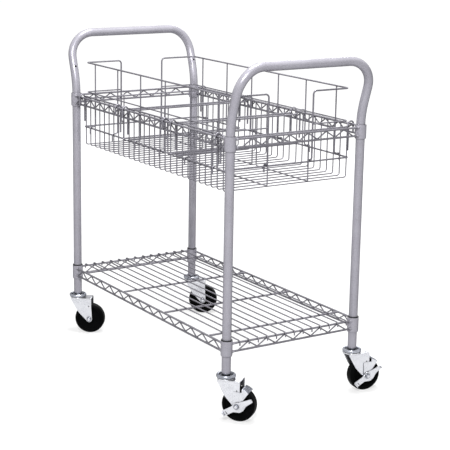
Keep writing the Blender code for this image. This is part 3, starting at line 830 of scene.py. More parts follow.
# The bright zinc again, made darker for the stem's race, the nuts and the brake shoe: the darkness is painted shade
# and painted dark reflection.
SHADED_ZINC = Finish(
    name="dull_zinc_plate", slot=Slot.ZINC, dark=(0.20, 0.21, 0.24), light=(0.46, 0.475, 0.53), metallic=0.9,
    roughness=(0.20, 0.34), flake_scale=420.0, cloud_scale=45.0, cloud_share=0.7, relief=0.00010,
    relief_strength=0.2, dust=(0.40, 0.39, 0.38), dust_amount=0.06, edge_colour=(0.80, 0.81, 0.86),
    edge_width=0.0010, grime=(0.02, 0.02, 0.025), grime_reach=0.012, grime_amount=1.0, specular=0.2, rim_tint=0.1,
)
BLACK_RUBBER = Finish(
    name="black_rubber_tread", slot=Slot.RUBBER, dark=(0.0012, 0.0013, 0.0015), light=(0.0034, 0.0036, 0.0040),
    metallic=0.0, roughness=(0.40, 0.55), flake_scale=650.0, cloud_scale=30.0, cloud_share=0.5, relief=0.00012,
    relief_strength=0.25, dust=(0.03, 0.03, 0.03), dust_amount=0.05, edge_colour=(0.010, 0.010, 0.011),
    edge_width=0.0010, grime=(0.001, 0.001, 0.001), grime_reach=0.006, grime_amount=0.5, specular=0.02,
)
BLACK_PLASTIC = Finish(
    name="black_moulded_plastic", slot=Slot.PLASTIC, dark=(0.008, 0.008, 0.010), light=(0.018, 0.018, 0.021),
    metallic=0.0, roughness=(0.36, 0.50), flake_scale=1200.0, cloud_scale=60.0, cloud_share=0.3, relief=0.00008,
    relief_strength=0.3, dust=(0.15, 0.15, 0.15), dust_amount=0.06, edge_colour=(0.04, 0.04, 0.043),
    edge_width=0.0004, grime=(0.004, 0.004, 0.004), grime_reach=0.004, grime_amount=0.6, specular=0.15,
)


class Workshop:
    """What every sub-assembly needs: the bench, the finishes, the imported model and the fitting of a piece."""

    def __init__(self) -> None:
        """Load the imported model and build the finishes."""
        self.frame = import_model()
        self.bench = Bench()
        groups = GroupMaker().build()
        finishes = (SILVER_PAINT, SHADED_WIRE_PAINT, BRIGHT_ZINC, SHADED_ZINC, BLACK_RUBBER, BLACK_PLASTIC)
        self.materials = {finish: finish.material(groups) for finish in finishes}
        self.joints = {joint["name"]: joint for joint in self.frame["joints"]}
        usual = {finish.slot: finish for finish in reversed(finishes)}
        for node in self.frame["nodes"].values():
            slot = Slot(node.data.materials[0].name)
            node.data.materials[0] = self.materials[usual[slot]]

    def fit(self, piece: Piece, name: str, finish: Finish, *nodes: str, body: str = "frame") -> Piece:
        """Name a piece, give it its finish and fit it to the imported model.

        Args:
            piece: The finished piece, in place.
            name: Its name.
            finish: Its finish.
            nodes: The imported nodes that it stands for.
            body: The body that it moves with.

        Returns:
            The piece.
        """
        piece.name = piece.data.name = name
        piece.data.materials.clear()
        piece.data.materials.append(self.materials[finish])
        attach(piece, body)
        if nodes:
            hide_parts(*nodes)
        log.info("%s: %d faces, on %s, for %s", name, len(piece.data.polygons), body, ", ".join(nodes) or "no node")
        return piece

    def post_axis(self, corner: Corner) -> Vector:
        """Where a post's axis meets the floor.

        Args:
            corner: The post's corner.

        Returns:
            A place on the floor.
        """
        low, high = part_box(f"post_{corner.value}")
        middle = (low + high) / 2
        return Vector((middle.x, middle.y, 0))

    def middle(self) -> Vector:
        """The middle between the four posts, on the floor."""
        return sum((self.post_axis(corner) for corner in Corner), Vector()) / len(Corner)

    def half_span(self) -> Vector:
        """How far the posts' axes lie from the middle, along and across."""
        return self.post_axis(Corner.REAR_RIGHT) - self.middle()


@dataclass
class Assembly:
    """A sub-assembly of the cart."""

    shop: Workshop

    @property
    def bench(self) -> Bench:
        """The bench that it is modelled at."""
        return self.shop.bench


@dataclass
class Posts(Assembly):
    """The four tube posts."""

    wall: float = 0.0016
    edge: float = 0.0004

    def build(self) -> None:
        """Turn one tube and copy it to each corner."""
        low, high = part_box("post_rear_left")
        radius = (high.x - low.x) / 2
        inner = radius - self.wall
        section = ((radius, high.z), (radius, low.z), (inner, low.z), (inner, high.z))
        tube = self.bench.lathe(upright(*((x, z, self.edge) for x, z in section)), closed=True)
        places = [moved(*self.shop.post_axis(corner)) for corner in Corner]
        for corner, piece in zip(Corner, self.bench.copies(tube, places)):
            self.shop.fit(piece, f"post_tube_{corner.value}", SILVER_PAINT, f"post_{corner.value}")


@dataclass
class Handles(Assembly):
    """The two push handles, flared outwards over the posts, with a plug in each leg."""

    spring_height: float = 0.783
    corner_radius: float = 0.076
    flare_steps: int = 22
    corner_steps: int = 14
    sides: int = 40
    plug_height: float = 0.865
    plug_steps: int = 24
    # The domed plug: radius, how far it stands out of the tube, rounding.
    plug_section: Table = (
        (0.0, 0.0014), (0.00252, 0.0014, 0.0018), (0.0036, 0.00042, 0.00028), (0.0036, -0.0014), (0.0, -0.0014),
    )
    half_width: float = field(init=False)
    foot: float = field(init=False)
    bar_height: float = field(init=False)
    flare: float = field(init=False)

    def __post_init__(self) -> None:
        """Read the handle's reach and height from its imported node."""
        low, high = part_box("handle_rear")
        left, right = self.shop.post_axis(Corner.REAR_LEFT), self.shop.post_axis(Corner.REAR_RIGHT)
        self.half_width = (right.y - left.y) / 2
        self.foot = low.z
        self.bar_height = high.z - TUBE_RADIUS
        self.flare = high.x - TUBE_RADIUS - left.x

    def lean(self, height: float) -> float:
        """How far a leg has bent outwards at a height."""
        share = (height - self.spring_height) / (self.bar_height - self.spring_height)
        return self.flare / 2 * (1 - math.cos(math.pi * min(max(share, 0.0), 1.0)))

    def leg(self) -> list[Bend]:
        """Half of the tube's centre line, from its foot to the start of the bar.

        Returns:
            The points of one leg and the corner above it, at +Y.
        """
        corner_base = self.bar_height - self.corner_radius
        climb = corner_base - self.spring_height
        heights = [self.foot] + [self.spring_height + climb * n / self.flare_steps for n in range(self.flare_steps)]
        places = [(self.half_width, z) for z in heights]
        for n in range(self.corner_steps + 1):
            angle = QUARTER_TURN * n / self.corner_steps
            y = self.half_width - self.corner_radius * (1 - math.cos(angle))
            places.append((y, corner_base + self.corner_radius * math.sin(angle)))
        return bends(*((self.lean(z), y, z) for y, z in places))

    def build(self) -> None:
        """Bend one tube, plug its legs and stand a copy at each end."""
        leg = self.leg()
        tube = self.bench.wire(leg + mirrored(leg, 1), 2 * TUBE_RADIUS, sides=self.sides)
        dome = self.bench.lathe(upright(*self.plug_section), steps=self.plug_steps)
        plug = self.bench.place(dome, turned(-QUARTER_TURN, "Y"))
        for end in End:
            post = self.shop.post_axis(Corner.REAR_LEFT if end is End.REAR else Corner.FRONT_LEFT)
            stand = moved(post.x, self.shop.middle().y) @ end.turn
            name = f"handle_{end.word}"
            self.shop.fit(self.bench.copy(tube, stand), f"{name}_tube", SILVER_PAINT, name)
            for side in Side:
                x = self.lean(self.plug_height) - TUBE_RADIUS
                button = self.bench.copy(plug, stand @ moved(x, side.value * self.half_width, self.plug_height))
                self.shop.fit(button, f"{name}_plug_{side.word}", BLACK_PLASTIC)
        self.bench.discard(tube, plug)


@dataclass
class Collars(Assembly):
    """The corner collars of both levels with their weld beads, and the split sleeves wedged in them."""

    wall: float = 0.0014
    taper_height: float = 0.0032
    taper: float = 0.0011
    edge: float = 0.0005
    bead_steps: int = 16
    # The weld bead round a wire: radius, place along the wire, rounding.
    bead_section: Table = (
        (0.0018, 0.0050), (0.0033, 0.0050, 0.00075), (0.003784, 0.0025, 0.00215), (0.0043, 0.0, 0.0014333),
        (0.0043, -0.0025), (0.0018, -0.0025),
    )
    flange: float = 0.0011
    slit: float = 0.0012
    slit_turn: float = math.radians(35)
    sunk: float = 0.0004

    def collar(self, radius: float, base: float, top: float) -> Piece:
        """One collar about Z, drawn in at its foot.

        Args:
            radius: Its outer radius.
            base: The height of its foot.
            top: The height of its rim.

        Returns:
            The collar.
        """
        inner, waist = radius - self.wall, base + self.taper_height
        section = upright(
            (radius, top, self.edge), (radius, waist, self.taper_height), (radius - self.taper, base, self.edge),
            (inner - CLEARANCE, base, self.edge / 2), (inner, waist), (inner, top, self.edge),
        )
        return self.bench.lathe(section, closed=True)

    def sleeve(self, base: float, rim: float, top: float, outer: float) -> Piece:
        """One split sleeve about Z, with a flange that lies on the collar where it stands over the rim.

        Args:
            base: The height of its foot.
            rim: The height of the collar's rim.
            top: The height of its own top.
            outer: Its radius inside the collar.

        Returns:
            The sleeve.
        """
        inner = TUBE_RADIUS + CLEARANCE / 2
        wide = outer + self.flange if top > rim else outer
        ledge = min(rim + CLEARANCE / 2, top - self.edge)
        section = upright(
            (inner, base), (outer, base), (outer, ledge), (wide, ledge + CLEARANCE / 4), (wide, top, self.edge),
            (inner, top, self.edge),
        )
        ring = self.bench.lathe(section, closed=True)
        slot = self.bench.place(self.bench.cube(self.slit, 2 * wide, 1), moved(y=wide))
        return self.bench.smooth(self.bench.cut(ring, slot))

    def bead_places(self, corner: Corner, radius: float, level: Level, frames: "LacedFrames") -> list[Matrix]:
        """Where the beads sit on a collar, seen from its axis.

        Args:
            corner: The collar's corner.
            radius: The collar's radius.
            level: The collar's level.
            frames: The wire frames whose wires end on it.

        Returns:
            A place for each wire that ends on the collar.
        """
        out = frames.stand_out
        reach = math.sqrt(radius**2 - out**2)
        x, y = corner.along, corner.across
        ways = (
            moved(-x * reach, y * out) @ turned(math.pi if x > 0 else 0),
            moved(x * out, -y * reach) @ turned(QUARTER_TURN + (math.pi if y > 0 else 0)),
        )
        return [moved(z=height) @ way for height in frames.heights(level) for way in ways]

    def build(self, frames: "LacedFrames") -> None:
        """Model each level's collar, bead and sleeve, and copy them to the corners.

        Args:
            frames: The wire frames, which say where their wires meet the collars.
        """
        for level in Level:
            low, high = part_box(f"collar_{level.value}_rear_left")
            radius = (high.x - low.x) / 2
            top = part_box(f"sleeve_{level.value}_rear_left")[1].z if level is Level.LOWER else high.z - self.sunk
            collar = self.collar(radius, low.z, high.z)
            ring = self.bench.lathe(upright(*self.bead_section), closed=True, steps=self.bead_steps)
            bead = self.bench.place(ring, turned(QUARTER_TURN, "Y"))
            sleeve = self.sleeve(low.z, high.z, top, radius - self.wall)
            for corner in Corner:
                stand = moved(*self.shop.post_axis(corner))
                beads = [self.bench.copy(bead, stand @ p) for p in self.bead_places(corner, radius, level, frames)]
                piece = self.bench.join(self.bench.copy(collar, stand), *beads)
                name = f"{level.value}_{corner.value}"
                self.shop.fit(piece, f"collar_tube_{name}", SILVER_PAINT, f"collar_{name}")
                piece = self.bench.copy(sleeve, stand @ turned(corner.along * self.slit_turn))
                self.shop.fit(piece, f"split_sleeve_{name}", BLACK_PLASTIC, f"sleeve_{name}")
            self.bench.discard(collar, bead, sleeve)


@dataclass
class LacedFrames(Assembly):
    """The laced sides of both levels: two straight wires with a zigzag wire welded between them."""

    wire: float = 0.006
    wire_sides: int = 16
    lacing: float = 0.004
    pitch: float = 0.0605
    stand_out: float = 0.008
    weld_depth: float = 0.001
    lacing_bend: float = 0.0045
    collar_radius: float = 0.01625
    collar_bite: float = 0.0007
    saddle_sides: int = 48

    def heights(self, level: Level) -> Pair:
        """The heights of a level's lower and upper wires."""
        low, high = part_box(f"frame_{level.value}_left")
        return low.z + self.wire / 2, high.z - self.wire / 2

    def side(self, half_span: float, bottom: float, top: float) -> Piece:
        """One laced side along X, with the collars that it meets on its +Y side.

        Args:
            half_span: Half the distance between the posts that it joins.
            bottom: The height of its lower wire.
            top: The height of its upper wire.

        Returns:
            The side, its ends cut to saddle the collars.
        """
        reach = half_span - self.collar_radius / 2
        bite = self.collar_radius - self.collar_bite
        wires = []
        for z in (bottom, top):
            straight = self.bench.wire(upright((-reach, z), (reach, z)), self.wire, sides=self.wire_sides)
            ends = [[(end.value * half_span, self.stand_out, z + d) for d in (-self.wire, self.wire)] for end in End]
            saddles = [self.bench.rod(*end, bite, self.saddle_sides) for end in ends]
            wires.append(self.bench.smooth(self.bench.cut(straight, *saddles)))
        inset = self.wire / 2 - self.weld_depth
        peaks = int((half_span - self.collar_radius) / self.pitch)
        zigzag = upright(*(
            (step * self.pitch / 2, bottom + inset if step % 2 == 0 else top - inset, self.lacing_bend)
            for step in range(-2 * peaks, 2 * peaks + 1)
        ))
        return self.bench.join(*wires, self.bench.wire(zigzag, self.lacing))

    def build(self) -> None:
        """Lace a long and a short side for each level, and copy them to their places."""
        middle, half = self.shop.middle(), self.shop.half_span()
        for level in Level:
            long_side, short_side = (self.side(span, *self.heights(level)) for span in half.xy)
            places = [
                (long_side, side, (0, side.value * (half.y + self.stand_out), 0), 0 if side is Side.LEFT else math.pi)
                for side in Side
            ]
            places += [
                (short_side, end, (end.value * (half.x + self.stand_out), 0, 0), end.value * QUARTER_TURN)
                for end in End
            ]
            for model, facing, spot, angle in places:
                piece = self.bench.copy(model, moved(*(middle + Vector(spot))) @ turned(angle))
                name = f"{level.value}_{facing.word}"
                self.shop.fit(piece, f"laced_{name}", SHADED_WIRE_PAINT, f"frame_{name}")
            self.bench.discard(long_side, short_side)


@dataclass
class Deck(Assembly):
    """The wire deck of the lower shelf: long wires turned down past the end frames, on cross wires."""

    wire: float = 0.004
    cross_wire: float = 0.006
    pitch: float = 0.03025
    cross_places: Pair = (0.1218, 0.3663)
    weld_depth: float = 0.001

    def build(self, frames: LacedFrames) -> None:
        """Bend one long wire and one cross wire, and repeat them.

        Args:
            frames: The wire frames, between whose collars the wires lie.
        """
        low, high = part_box("lower_deck")
        surface = high.z - self.wire / 2
        end = (high.x - low.x - self.wire) / 2
        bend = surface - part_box("frame_lower_left")[1].z + self.cross_wire / 2
        line = upright((-end, low.z), (-end, surface, bend), (end, surface, bend), (end, low.z))
        long_wire = self.bench.wire(line, self.wire)
        half_width = (high.y - low.y) / 2
        z = surface - (self.wire + self.cross_wire) / 2 + self.weld_depth
        cross = self.bench.wire(across((-half_width, z), (half_width, z)), self.cross_wire)
        count = int((self.shop.half_span().y - frames.collar_radius) / self.pitch)
        middle = moved(*self.shop.middle())
        rows = [middle @ moved(y=row * self.pitch) for row in range(-count, count + 1)]
        places = [middle @ moved(side.value * place) for place in self.cross_places for side in End]
        wires = self.bench.copies(long_wire, rows) + self.bench.copies(cross, places)
        self.shop.fit(self.bench.join(*wires), "deck_wires", SHADED_WIRE_PAINT, "lower_deck")


@dataclass
class Baskets(Assembly):
    """The three wire baskets, each hung by four hooks between the upper side frames."""

    names: tuple[str, ...] = ("front", "middle", "rear")
    pitch: float = 0.03025
    rib_count: int = 9
    half_width: float = 0.2055
    mid_height: float = 0.682
    end_drop: float = 0.008
    rib_wire: float = 0.0035
    rim_wire: float = 0.005
    weld_depth: float = 0.001
    corner_radius: float = 0.007
    ring_corner: float = 0.008
    ring_middle: float = 0.002
    ring_bend: float = 0.0064
    runner_place: float = 0.068
    runner_bend: float = 0.0045
    hook_wire: float = 0.005
    hook_foot: float = 0.700
    hook_tip: float = 0.751
    hook_inset: float = 0.0045
    floor: float = field(init=False)
    rim: float = field(init=False)

    def __post_init__(self) -> None:
        """Read the floor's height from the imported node, and put the rim at the frame's top."""
        self.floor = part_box("basket_middle")[0].z + self.rib_wire / 2
        self.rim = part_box("frame_upper_left")[1].z - self.rib_wire / 2 + self.weld_depth

    @property
    def rib_reach(self) -> float:
        """Half the distance between the outermost ribs."""
        return (self.rib_count - 1) * self.pitch / 2

    @property
    def stand_out(self) -> float:
        """How far a ring wire's axis lies outside that of the ribs it is welded to."""
        return (self.rib_wire + self.rim_wire) / 2 - self.weld_depth

    def ring(self, height: float, end_height: float) -> Piece:
        """A ring of rim wire, whose ends may lie lower than its sides.

        Args:
            height: The height of its sides.
            end_height: The height of its ends.

        Returns:
            The ring.
        """
        x, y = self.rib_reach + self.stand_out, self.half_width + self.stand_out
        corner = [(x, y, height)] if height == end_height else [
            (x - self.ring_corner, y, height),
            (x - self.ring_middle, y - self.ring_middle, (height + end_height) / 2),
            (x, y - self.ring_corner, end_height),
        ]
        back = corner[::-1]
        corners = ((1, 1, corner), (1, -1, back), (-1, -1, corner), (-1, 1, back))
        run = bends(*((i * a, j * b, c, self.ring_bend) for i, j, part in corners for a, b, c in part))
        return self.bench.wire(run, self.rim_wire, closed=True)

    def rib(self) -> Piece:
        """One U-shaped rib across the basket.

        Returns:
            The rib, at the middle of the basket.
        """
        y, radius = self.half_width, self.corner_radius
        line = across((-y, self.rim), (-y, self.floor, radius), (y, self.floor, radius), (y, self.rim))
        return self.bench.wire(line, self.rib_wire)

    def runner(self) -> Piece:
        """A wire that lies on the ribs along the basket, turned up at both ends.

        Returns:
            The wire, at the middle of the basket.
        """
        x = self.rib_reach + self.stand_out + (self.rim_wire + self.rib_wire) / 2 - self.weld_depth
        floor, top = self.floor + self.rib_wire - self.weld_depth, self.rim - self.end_drop
        line = upright((-x, top), (-x, floor, self.runner_bend), (x, floor, self.runner_bend), (x, top))
        return self.bench.wire(line, self.rib_wire)

    def hook(self, frames: LacedFrames) -> Piece:
        """A hook at +Y, with a round crown over the frame's top wire.

        Args:
            frames: The wire frames that it goes over.

        Returns:
            The hook, at the middle of the basket.
        """
        inner = self.half_width + self.stand_out + (self.rim_wire + self.hook_wire) / 2 - self.weld_depth
        wire_y = self.shop.half_span().y + frames.stand_out
        outer = wire_y + (frames.wire + self.hook_wire) / 2 + CLEARANCE
        crown = (outer - inner) / 2
        top = frames.heights(Level.UPPER)[1] + crown
        line = across((inner, self.hook_foot), (inner, top, crown), (outer, top, crown), (outer, self.hook_tip))
        return self.bench.wire(line, self.hook_wire)

    def build(self, frames: LacedFrames) -> None:
        """Weld up one basket and hang three.

        Args:
            frames: The wire frames that the hooks go over.
        """
        rings = [self.ring(self.rim, self.rim - self.end_drop), self.ring(self.mid_height, self.mid_height)]
        steps = [number * self.pitch - self.rib_reach for number in range(self.rib_count)]
        ribs = self.bench.copies(self.rib(), [moved(x) for x in steps])
        runners = self.bench.copies(self.runner(), [moved(y=side.value * self.runner_place) for side in Side])
        hook_x = self.rib_reach - self.hook_inset
        places = [moved(end.value * hook_x) @ side.turn for end in End for side in Side]
        basket = self.bench.join(*rings, *ribs, *runners, *self.bench.copies(self.hook(frames), places))
        boxes = [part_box(f"basket_{name}") for name in self.names]
        stands = [moved((low.x + high.x) / 2, (low.y + high.y) / 2) for low, high in boxes]
        for name, piece in zip(self.names, self.bench.copies(basket, stands)):
            self.shop.fit(piece, f"wire_basket_{name}", SHADED_WIRE_PAINT, f"basket_{name}")


@dataclass
class FileRails(Assembly):
    """The two lift-off file rails, hooked over the wires of the baskets."""

    half_width: float = 0.195
    half_length: float = 0.412
    top: float = 0.880
    lower: float = 0.7885
    end_place: float = 0.074
    wire: float = 0.005
    upright_wire: float = 0.004
    corner_radius: float = 0.010
    jog_radius: float = 0.008
    tip: float = 0.665
    upright_places: tuple[float, ...] = (0.0711, 0.2111, 0.3556)

    def jog(self, start: float, seat: float, wire: float, baskets: Baskets) -> list[tuple[float, float, float]]:
        """Points of a hook that steps over the middle ring of a basket, as (distance, height, bend radius).

        Args:
            start: Where the straight wire comes down.
            seat: Where the ring wire lies.
            wire: The hook wire's diameter.
            baskets: The baskets that the ring belongs to.

        Returns:
            The points from the first bend to the tip.
        """
        clear = (baskets.rim_wire + wire) / 2 + CLEARANCE
        past = seat + math.copysign(clear, seat - start)
        over = baskets.mid_height + clear
        return [(start, over, self.jog_radius), (past, over, clear), (past, self.tip, 0.0)]

    def long_wire(self, height: float, tail: Sequence[Sequence[float]], diameter: float) -> Piece:
        """A long wire of the rail at +Y, turned in at both ends and going on through a tail."""
        half = bends((self.half_length, self.half_width, height, self.corner_radius), *tail)
        return self.bench.wire(mirrored(half, 0) + half, diameter)

    def build(self, baskets: Baskets) -> None:
        """Bend one rail's wires, join them and turn a copy round for the other side.

        Args:
            baskets: The baskets that the rails hook on.
        """
        spacing = (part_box("basket_rear")[0].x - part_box("basket_front")[0].x) / 2
        ring_x = spacing + baskets.rib_reach + baskets.stand_out
        x, y = self.half_length, self.end_place
        end_jog = self.jog(x, ring_x, self.wire, baskets)
        drop = [(x, y, self.top, self.corner_radius), *((place, y, *rest) for place, *rest in end_jog)]
        side_jog = self.jog(self.half_width, baskets.half_width + baskets.stand_out, self.upright_wire, baskets)
        stem = self.bench.wire(across((self.half_width, self.top), *side_jog), self.upright_wire)
        places = [moved(end.value * place) for place in self.upright_places for end in End]
        rail = self.bench.join(
            self.long_wire(self.top, drop, self.wire),
            self.long_wire(self.lower, [(x, y, self.lower)], self.upright_wire),
            *self.bench.copies(stem, places),
        )
        middle = moved(*self.shop.middle())
        for side, piece in zip(Side, self.bench.copies(rail, [middle @ side.turn for side in Side])):
            name = f"file_rail_{side.word}"
            self.shop.fit(piece, f"{name}_wires", SHADED_WIRE_PAINT, name, body=f"rail_{side.word}")


@dataclass
class Casters(Assembly):
    """The four swivel casters: race and stem, bent-plate fork, wheel, axle bolt with nut."""

    post_inner: float = 0.0108
    shoulder: float = 0.0122
    race_low: float = 0.121
    race_top: float = 0.129
    stem_length: float = 0.045
    stem_edge: float = 0.001
    shoulder_edge: float = 0.0006
    stem_steps: int = 56
    # The upper race's dome: radius, height over its top, rounding.
    race_dome: Table = (
        (0.0122, -0.0052, 0.0010), (0.01674, -0.0056, 0.0020), (0.01998, -0.0004, 0.0024), (0.02376, 0.0, 0.0020),
        (0.027, -0.0026, 0.0030),
    )
    # Its rolled edge and hollow underside: radius, height over its lower edge, rounding.
    race_edge: Table = (
        (0.027, 0.0, 0.0016), (0.0246, 0.0, 0.0006), (0.0246, 0.003, 0.001), (0.0144, 0.003, 0.001), (0.006, 0.0),
    )
    # The kingpin and its head: radius, height over the head's top, rounding.
    kingpin_head: Table = (
        (0.006, 0.0), (0.0099, 0.0, 0.0006), (0.0099, -0.002, 0.0012), (0.00594, -0.003, 0.001), (0.0, -0.003),
    )
    # The lower race: radius, height over the fork's top, rounding.
    lower_race: Table = (
        (0.0063, -0.00125), (0.0245, -0.00125), (0.0245, 0.0018, 0.0012), (0.02205, 0.004, 0.0012),
        (0.0196, 0.0029, 0.001), (0.0063, 0.0029),
    )
    fork_top: float = 0.1167
    plate: float = 0.0025
    fork_half_width: float = 0.022
    fork_front: float = 0.021
    fork_rear: float = 0.047
    fork_rear_edge: float = 0.0275
    fork_corner: float = 0.003
    fork_rear_bend: float = 0.008
    toe_radius: float = 0.0095
    toe_angles: range = range(10, -151, -20)
    belly_share: float = 0.45
    belly_bulge: float = 0.004
    belly_radius: float = 0.06
    fold_radius: float = 0.0045
    fold_segments: int = 5
    fork_edge: float = 0.0005
    side_tilt: float = 0.02
    fold_slope: float = 0.6
    lock_hole: Pair = (0.0385, 0.0905)
    lock_hole_radius: float = 0.002
    hole_sides: tuple[int, int] = (20, 24)
    wheel_radius: float = 0.0476
    wheel_half_width: float = 0.016
    wheel_steps: int = 72
    # Half of the wheel, from its tread to its bore: radius, distance from its middle, rounding.
    wheel_section: Table = (
        (0.0476, 0.00992, 0.012), (0.0464, 0.01344, 0.004), (0.0426, 0.016, 0.002), (0.0381, 0.016, 0.001),
        (0.0351, 0.011, 0.002), (0.022, 0.011, 0.002), (0.020, 0.012, 0.001), (0.015, 0.0122, 0.002),
        (0.013, 0.0173, 0.0012), (0.0118, 0.0185, 0.0006), (0.0062, 0.0185, 0.0003),
    )
    trail: float = 0.040
    bolt: float = 0.004
    bolt_stand: float = 0.002
    bolt_edge: float = 0.0008
    bushing: float = 0.0059
    bushing_edge: float = 0.0004
    axle_steps: int = 32
    nut_corners: int = 6
    nut_radius: float = 0.0072
    nut_thickness: float = 0.0046
    nut_inset: float = 0.001152
    nut_crown: float = 0.000552
    nut_edge: float = 0.0004
    washer_radius: float = 0.008064
    washer: float = 0.0009
    washer_edge: float = 0.0003

    def stance(self, corner: Corner) -> tuple[Matrix, Matrix]:
        """Where a caster stands.

        Args:
            corner: The corner it is at.

        Returns:
            The places of its swivel axis on the floor and of its hub, both with X along its trail.
        """
        swivel = Vector(self.shop.joints[f"swivel_{corner.value}"]["pos_m"])
        hub = Vector(self.shop.joints[f"wheel_{corner.value}"]["pos_m"])
        turn = turned(math.atan2(hub.y - swivel.y, hub.x - swivel.x))
        return moved(swivel.x, swivel.y) @ turn, moved(*hub) @ turn

    def stem(self) -> Piece:
        """Stem, domed upper race with a rolled edge, kingpin and its head, about Z.

        Returns:
            The stem, in the swivel's frame.
        """
        tip = self.race_top + self.stem_length
        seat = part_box("post_rear_left")[0].z - CLEARANCE
        section = upright(
            (0, tip), (self.post_inner, tip, self.stem_edge), (self.post_inner, seat),
            (self.shoulder, seat, self.shoulder_edge), *raised(self.race_dome, self.race_top),
            *raised(self.race_edge, self.race_low), *raised(self.kingpin_head, self.fork_top - self.plate - CLEARANCE),
        )
        return self.bench.lathe(section, steps=self.stem_steps)

    def fork_outline(self) -> list[Bend]:
        """The side view of the fork: flat top, rear edge, round toe and bellied front edge.

        Returns:
            The outline's points, in the swivel's frame.
        """
        toe = arc(self.toe_radius, map(math.radians, self.toe_angles), self.trail, self.wheel_radius)
        x, z = toe[-1]
        belly = (
            x + (-self.fork_front - x) * self.belly_share - self.belly_bulge,
            z + (self.fork_top - z) * self.belly_share - self.belly_bulge,
        )
        return upright(
            (self.fork_rear, self.fork_top, self.fork_corner),
            (self.fork_rear, self.fork_top - self.fork_rear_edge, self.fork_rear_bend), *toe,
            (*belly, self.belly_radius), (-self.fork_front, self.fork_top, self.fork_corner),
        )

    def fork(self) -> Piece:
        """The fork folded from one plate, with its lower race, in the swivel's frame.

        Returns:
            The fork and its race as one piece.
        """
        width = 2 * self.fork_half_width
        body = self.bench.slab(self.fork_outline(), width, -self.fork_half_width)
        top = self.fork_top - MERGE_DISTANCE
        self.bench.select(body, Element.EDGE, lambda edge: self.is_fold(edge, top))
        bpy.ops.mesh.bevel(offset=self.fold_radius, segments=self.fold_segments, affect="EDGES")
        self.bench.select(body, Element.FACE, lambda face: self.is_open(face, top - 2 * self.fold_radius))
        bpy.ops.mesh.delete(type="FACE")
        self.bench.modify(body, "SOLIDIFY", thickness=self.plate, offset=-1.0, use_even_offset=True)
        holes = (
            (*self.lock_hole, self.lock_hole_radius, self.hole_sides[0]),
            (self.trail, self.wheel_radius, self.bolt + CLEARANCE, self.hole_sides[1]),
        )
        self.bench.cut(body, *(self.bench.rod((x, -width, z), (x, width, z), *size) for x, z, *size in holes))
        self.bench.soften(body, self.fork_edge)
        race = self.bench.lathe(upright(*raised(self.lower_race, self.fork_top)), closed=True)
        return self.bench.join(body, race)

    def is_fold(self, edge: bmesh.types.BMEdge, top: float) -> bool:
        """Whether an edge is one of the two where the fork's top folds down into its sides."""
        first, second = (vert.co for vert in edge.verts)
        return first.z > top and second.z > top and abs(first.y - second.y) < MERGE_DISTANCE

    def is_open(self, face: bmesh.types.BMFace, shoulder: float) -> bool:
        """Whether a face closes the fork's front, rear or foot, where the real one is open."""
        steep, low = face.normal.z < self.fold_slope, face.calc_center_median().z < shoulder
        return abs(face.normal.y) < self.side_tilt and (steep or low)

    def wheel(self) -> Piece:
        """Tyre, web and hub of a wheel about the hub, its axis along Y.

        Returns:
            The wheel.
        """
        side = upright(*self.wheel_section)
        wheel = self.bench.lathe(side + mirrored(side, 2), closed=True, steps=self.wheel_steps)
        return self.bench.place(wheel, turned(QUARTER_TURN, "X"))

    def nut(self) -> Piece:
        """A hexagonal nut about Z on the floor, its corners turned down.

        Returns:
            The nut.
        """
        self.bench.clear()
        bpy.ops.mesh.primitive_cylinder_add(
            vertices=self.nut_corners, radius=self.nut_radius, depth=self.nut_thickness
        )
        nut = bpy.context.object
        bpy.ops.object.mode_set(mode="EDIT")
        self.bench.select(nut, Element.FACE, lambda face: face.calc_center_median().z > 0)
        bpy.ops.mesh.inset(thickness=self.nut_inset)
        bpy.ops.transform.translate(value=(0, 0, self.nut_crown))
        self.bench.soften(nut, self.nut_edge)
        return self.bench.place(nut, moved(z=self.nut_thickness / 2))

    def axle(self, stack: float) -> tuple[Piece, Piece]:
        """The bolt in its bushing, and its washers, head and nut, about the hub, the nut at -Y.

        Args:
            stack: What the bolt clamps outside the fork on the nut's side.

        Returns:
            The bolt and what is on it.
        """
        shoulder = self.fork_half_width - self.plate - CLEARANCE
        face = self.fork_half_width + stack + CLEARANCE
        end = face + self.nut_thickness + self.bolt_stand
        head = self.fork_half_width + CLEARANCE
        shaft = self.bench.lathe(
            upright(
                (0, end), (self.bolt, end, self.bolt_edge), (self.bolt, shoulder),
                (self.bushing, shoulder, self.bushing_edge), (self.bushing, -shoulder, self.bushing_edge),
                (self.bolt, -shoulder), (self.bolt, -head), (0, -head),
            ),
            steps=self.axle_steps,
        )
        ring = upright(
            (self.bolt, 0), (self.washer_radius, 0, self.washer_edge),
            (self.washer_radius, self.washer, self.washer_edge), (self.bolt, self.washer),
        )
        models = (self.nut(), self.bench.lathe(ring, closed=True, steps=self.axle_steps))
        places = (moved(z=face), moved(z=-head) @ turned(math.pi, "X"))
        fixings = self.bench.join(*(self.bench.copy(model, place) for model in models for place in places))
        self.bench.discard(*models)
        turn = turned(QUARTER_TURN, "X")
        return self.bench.place(shaft, turn), self.bench.place(fixings, turn)

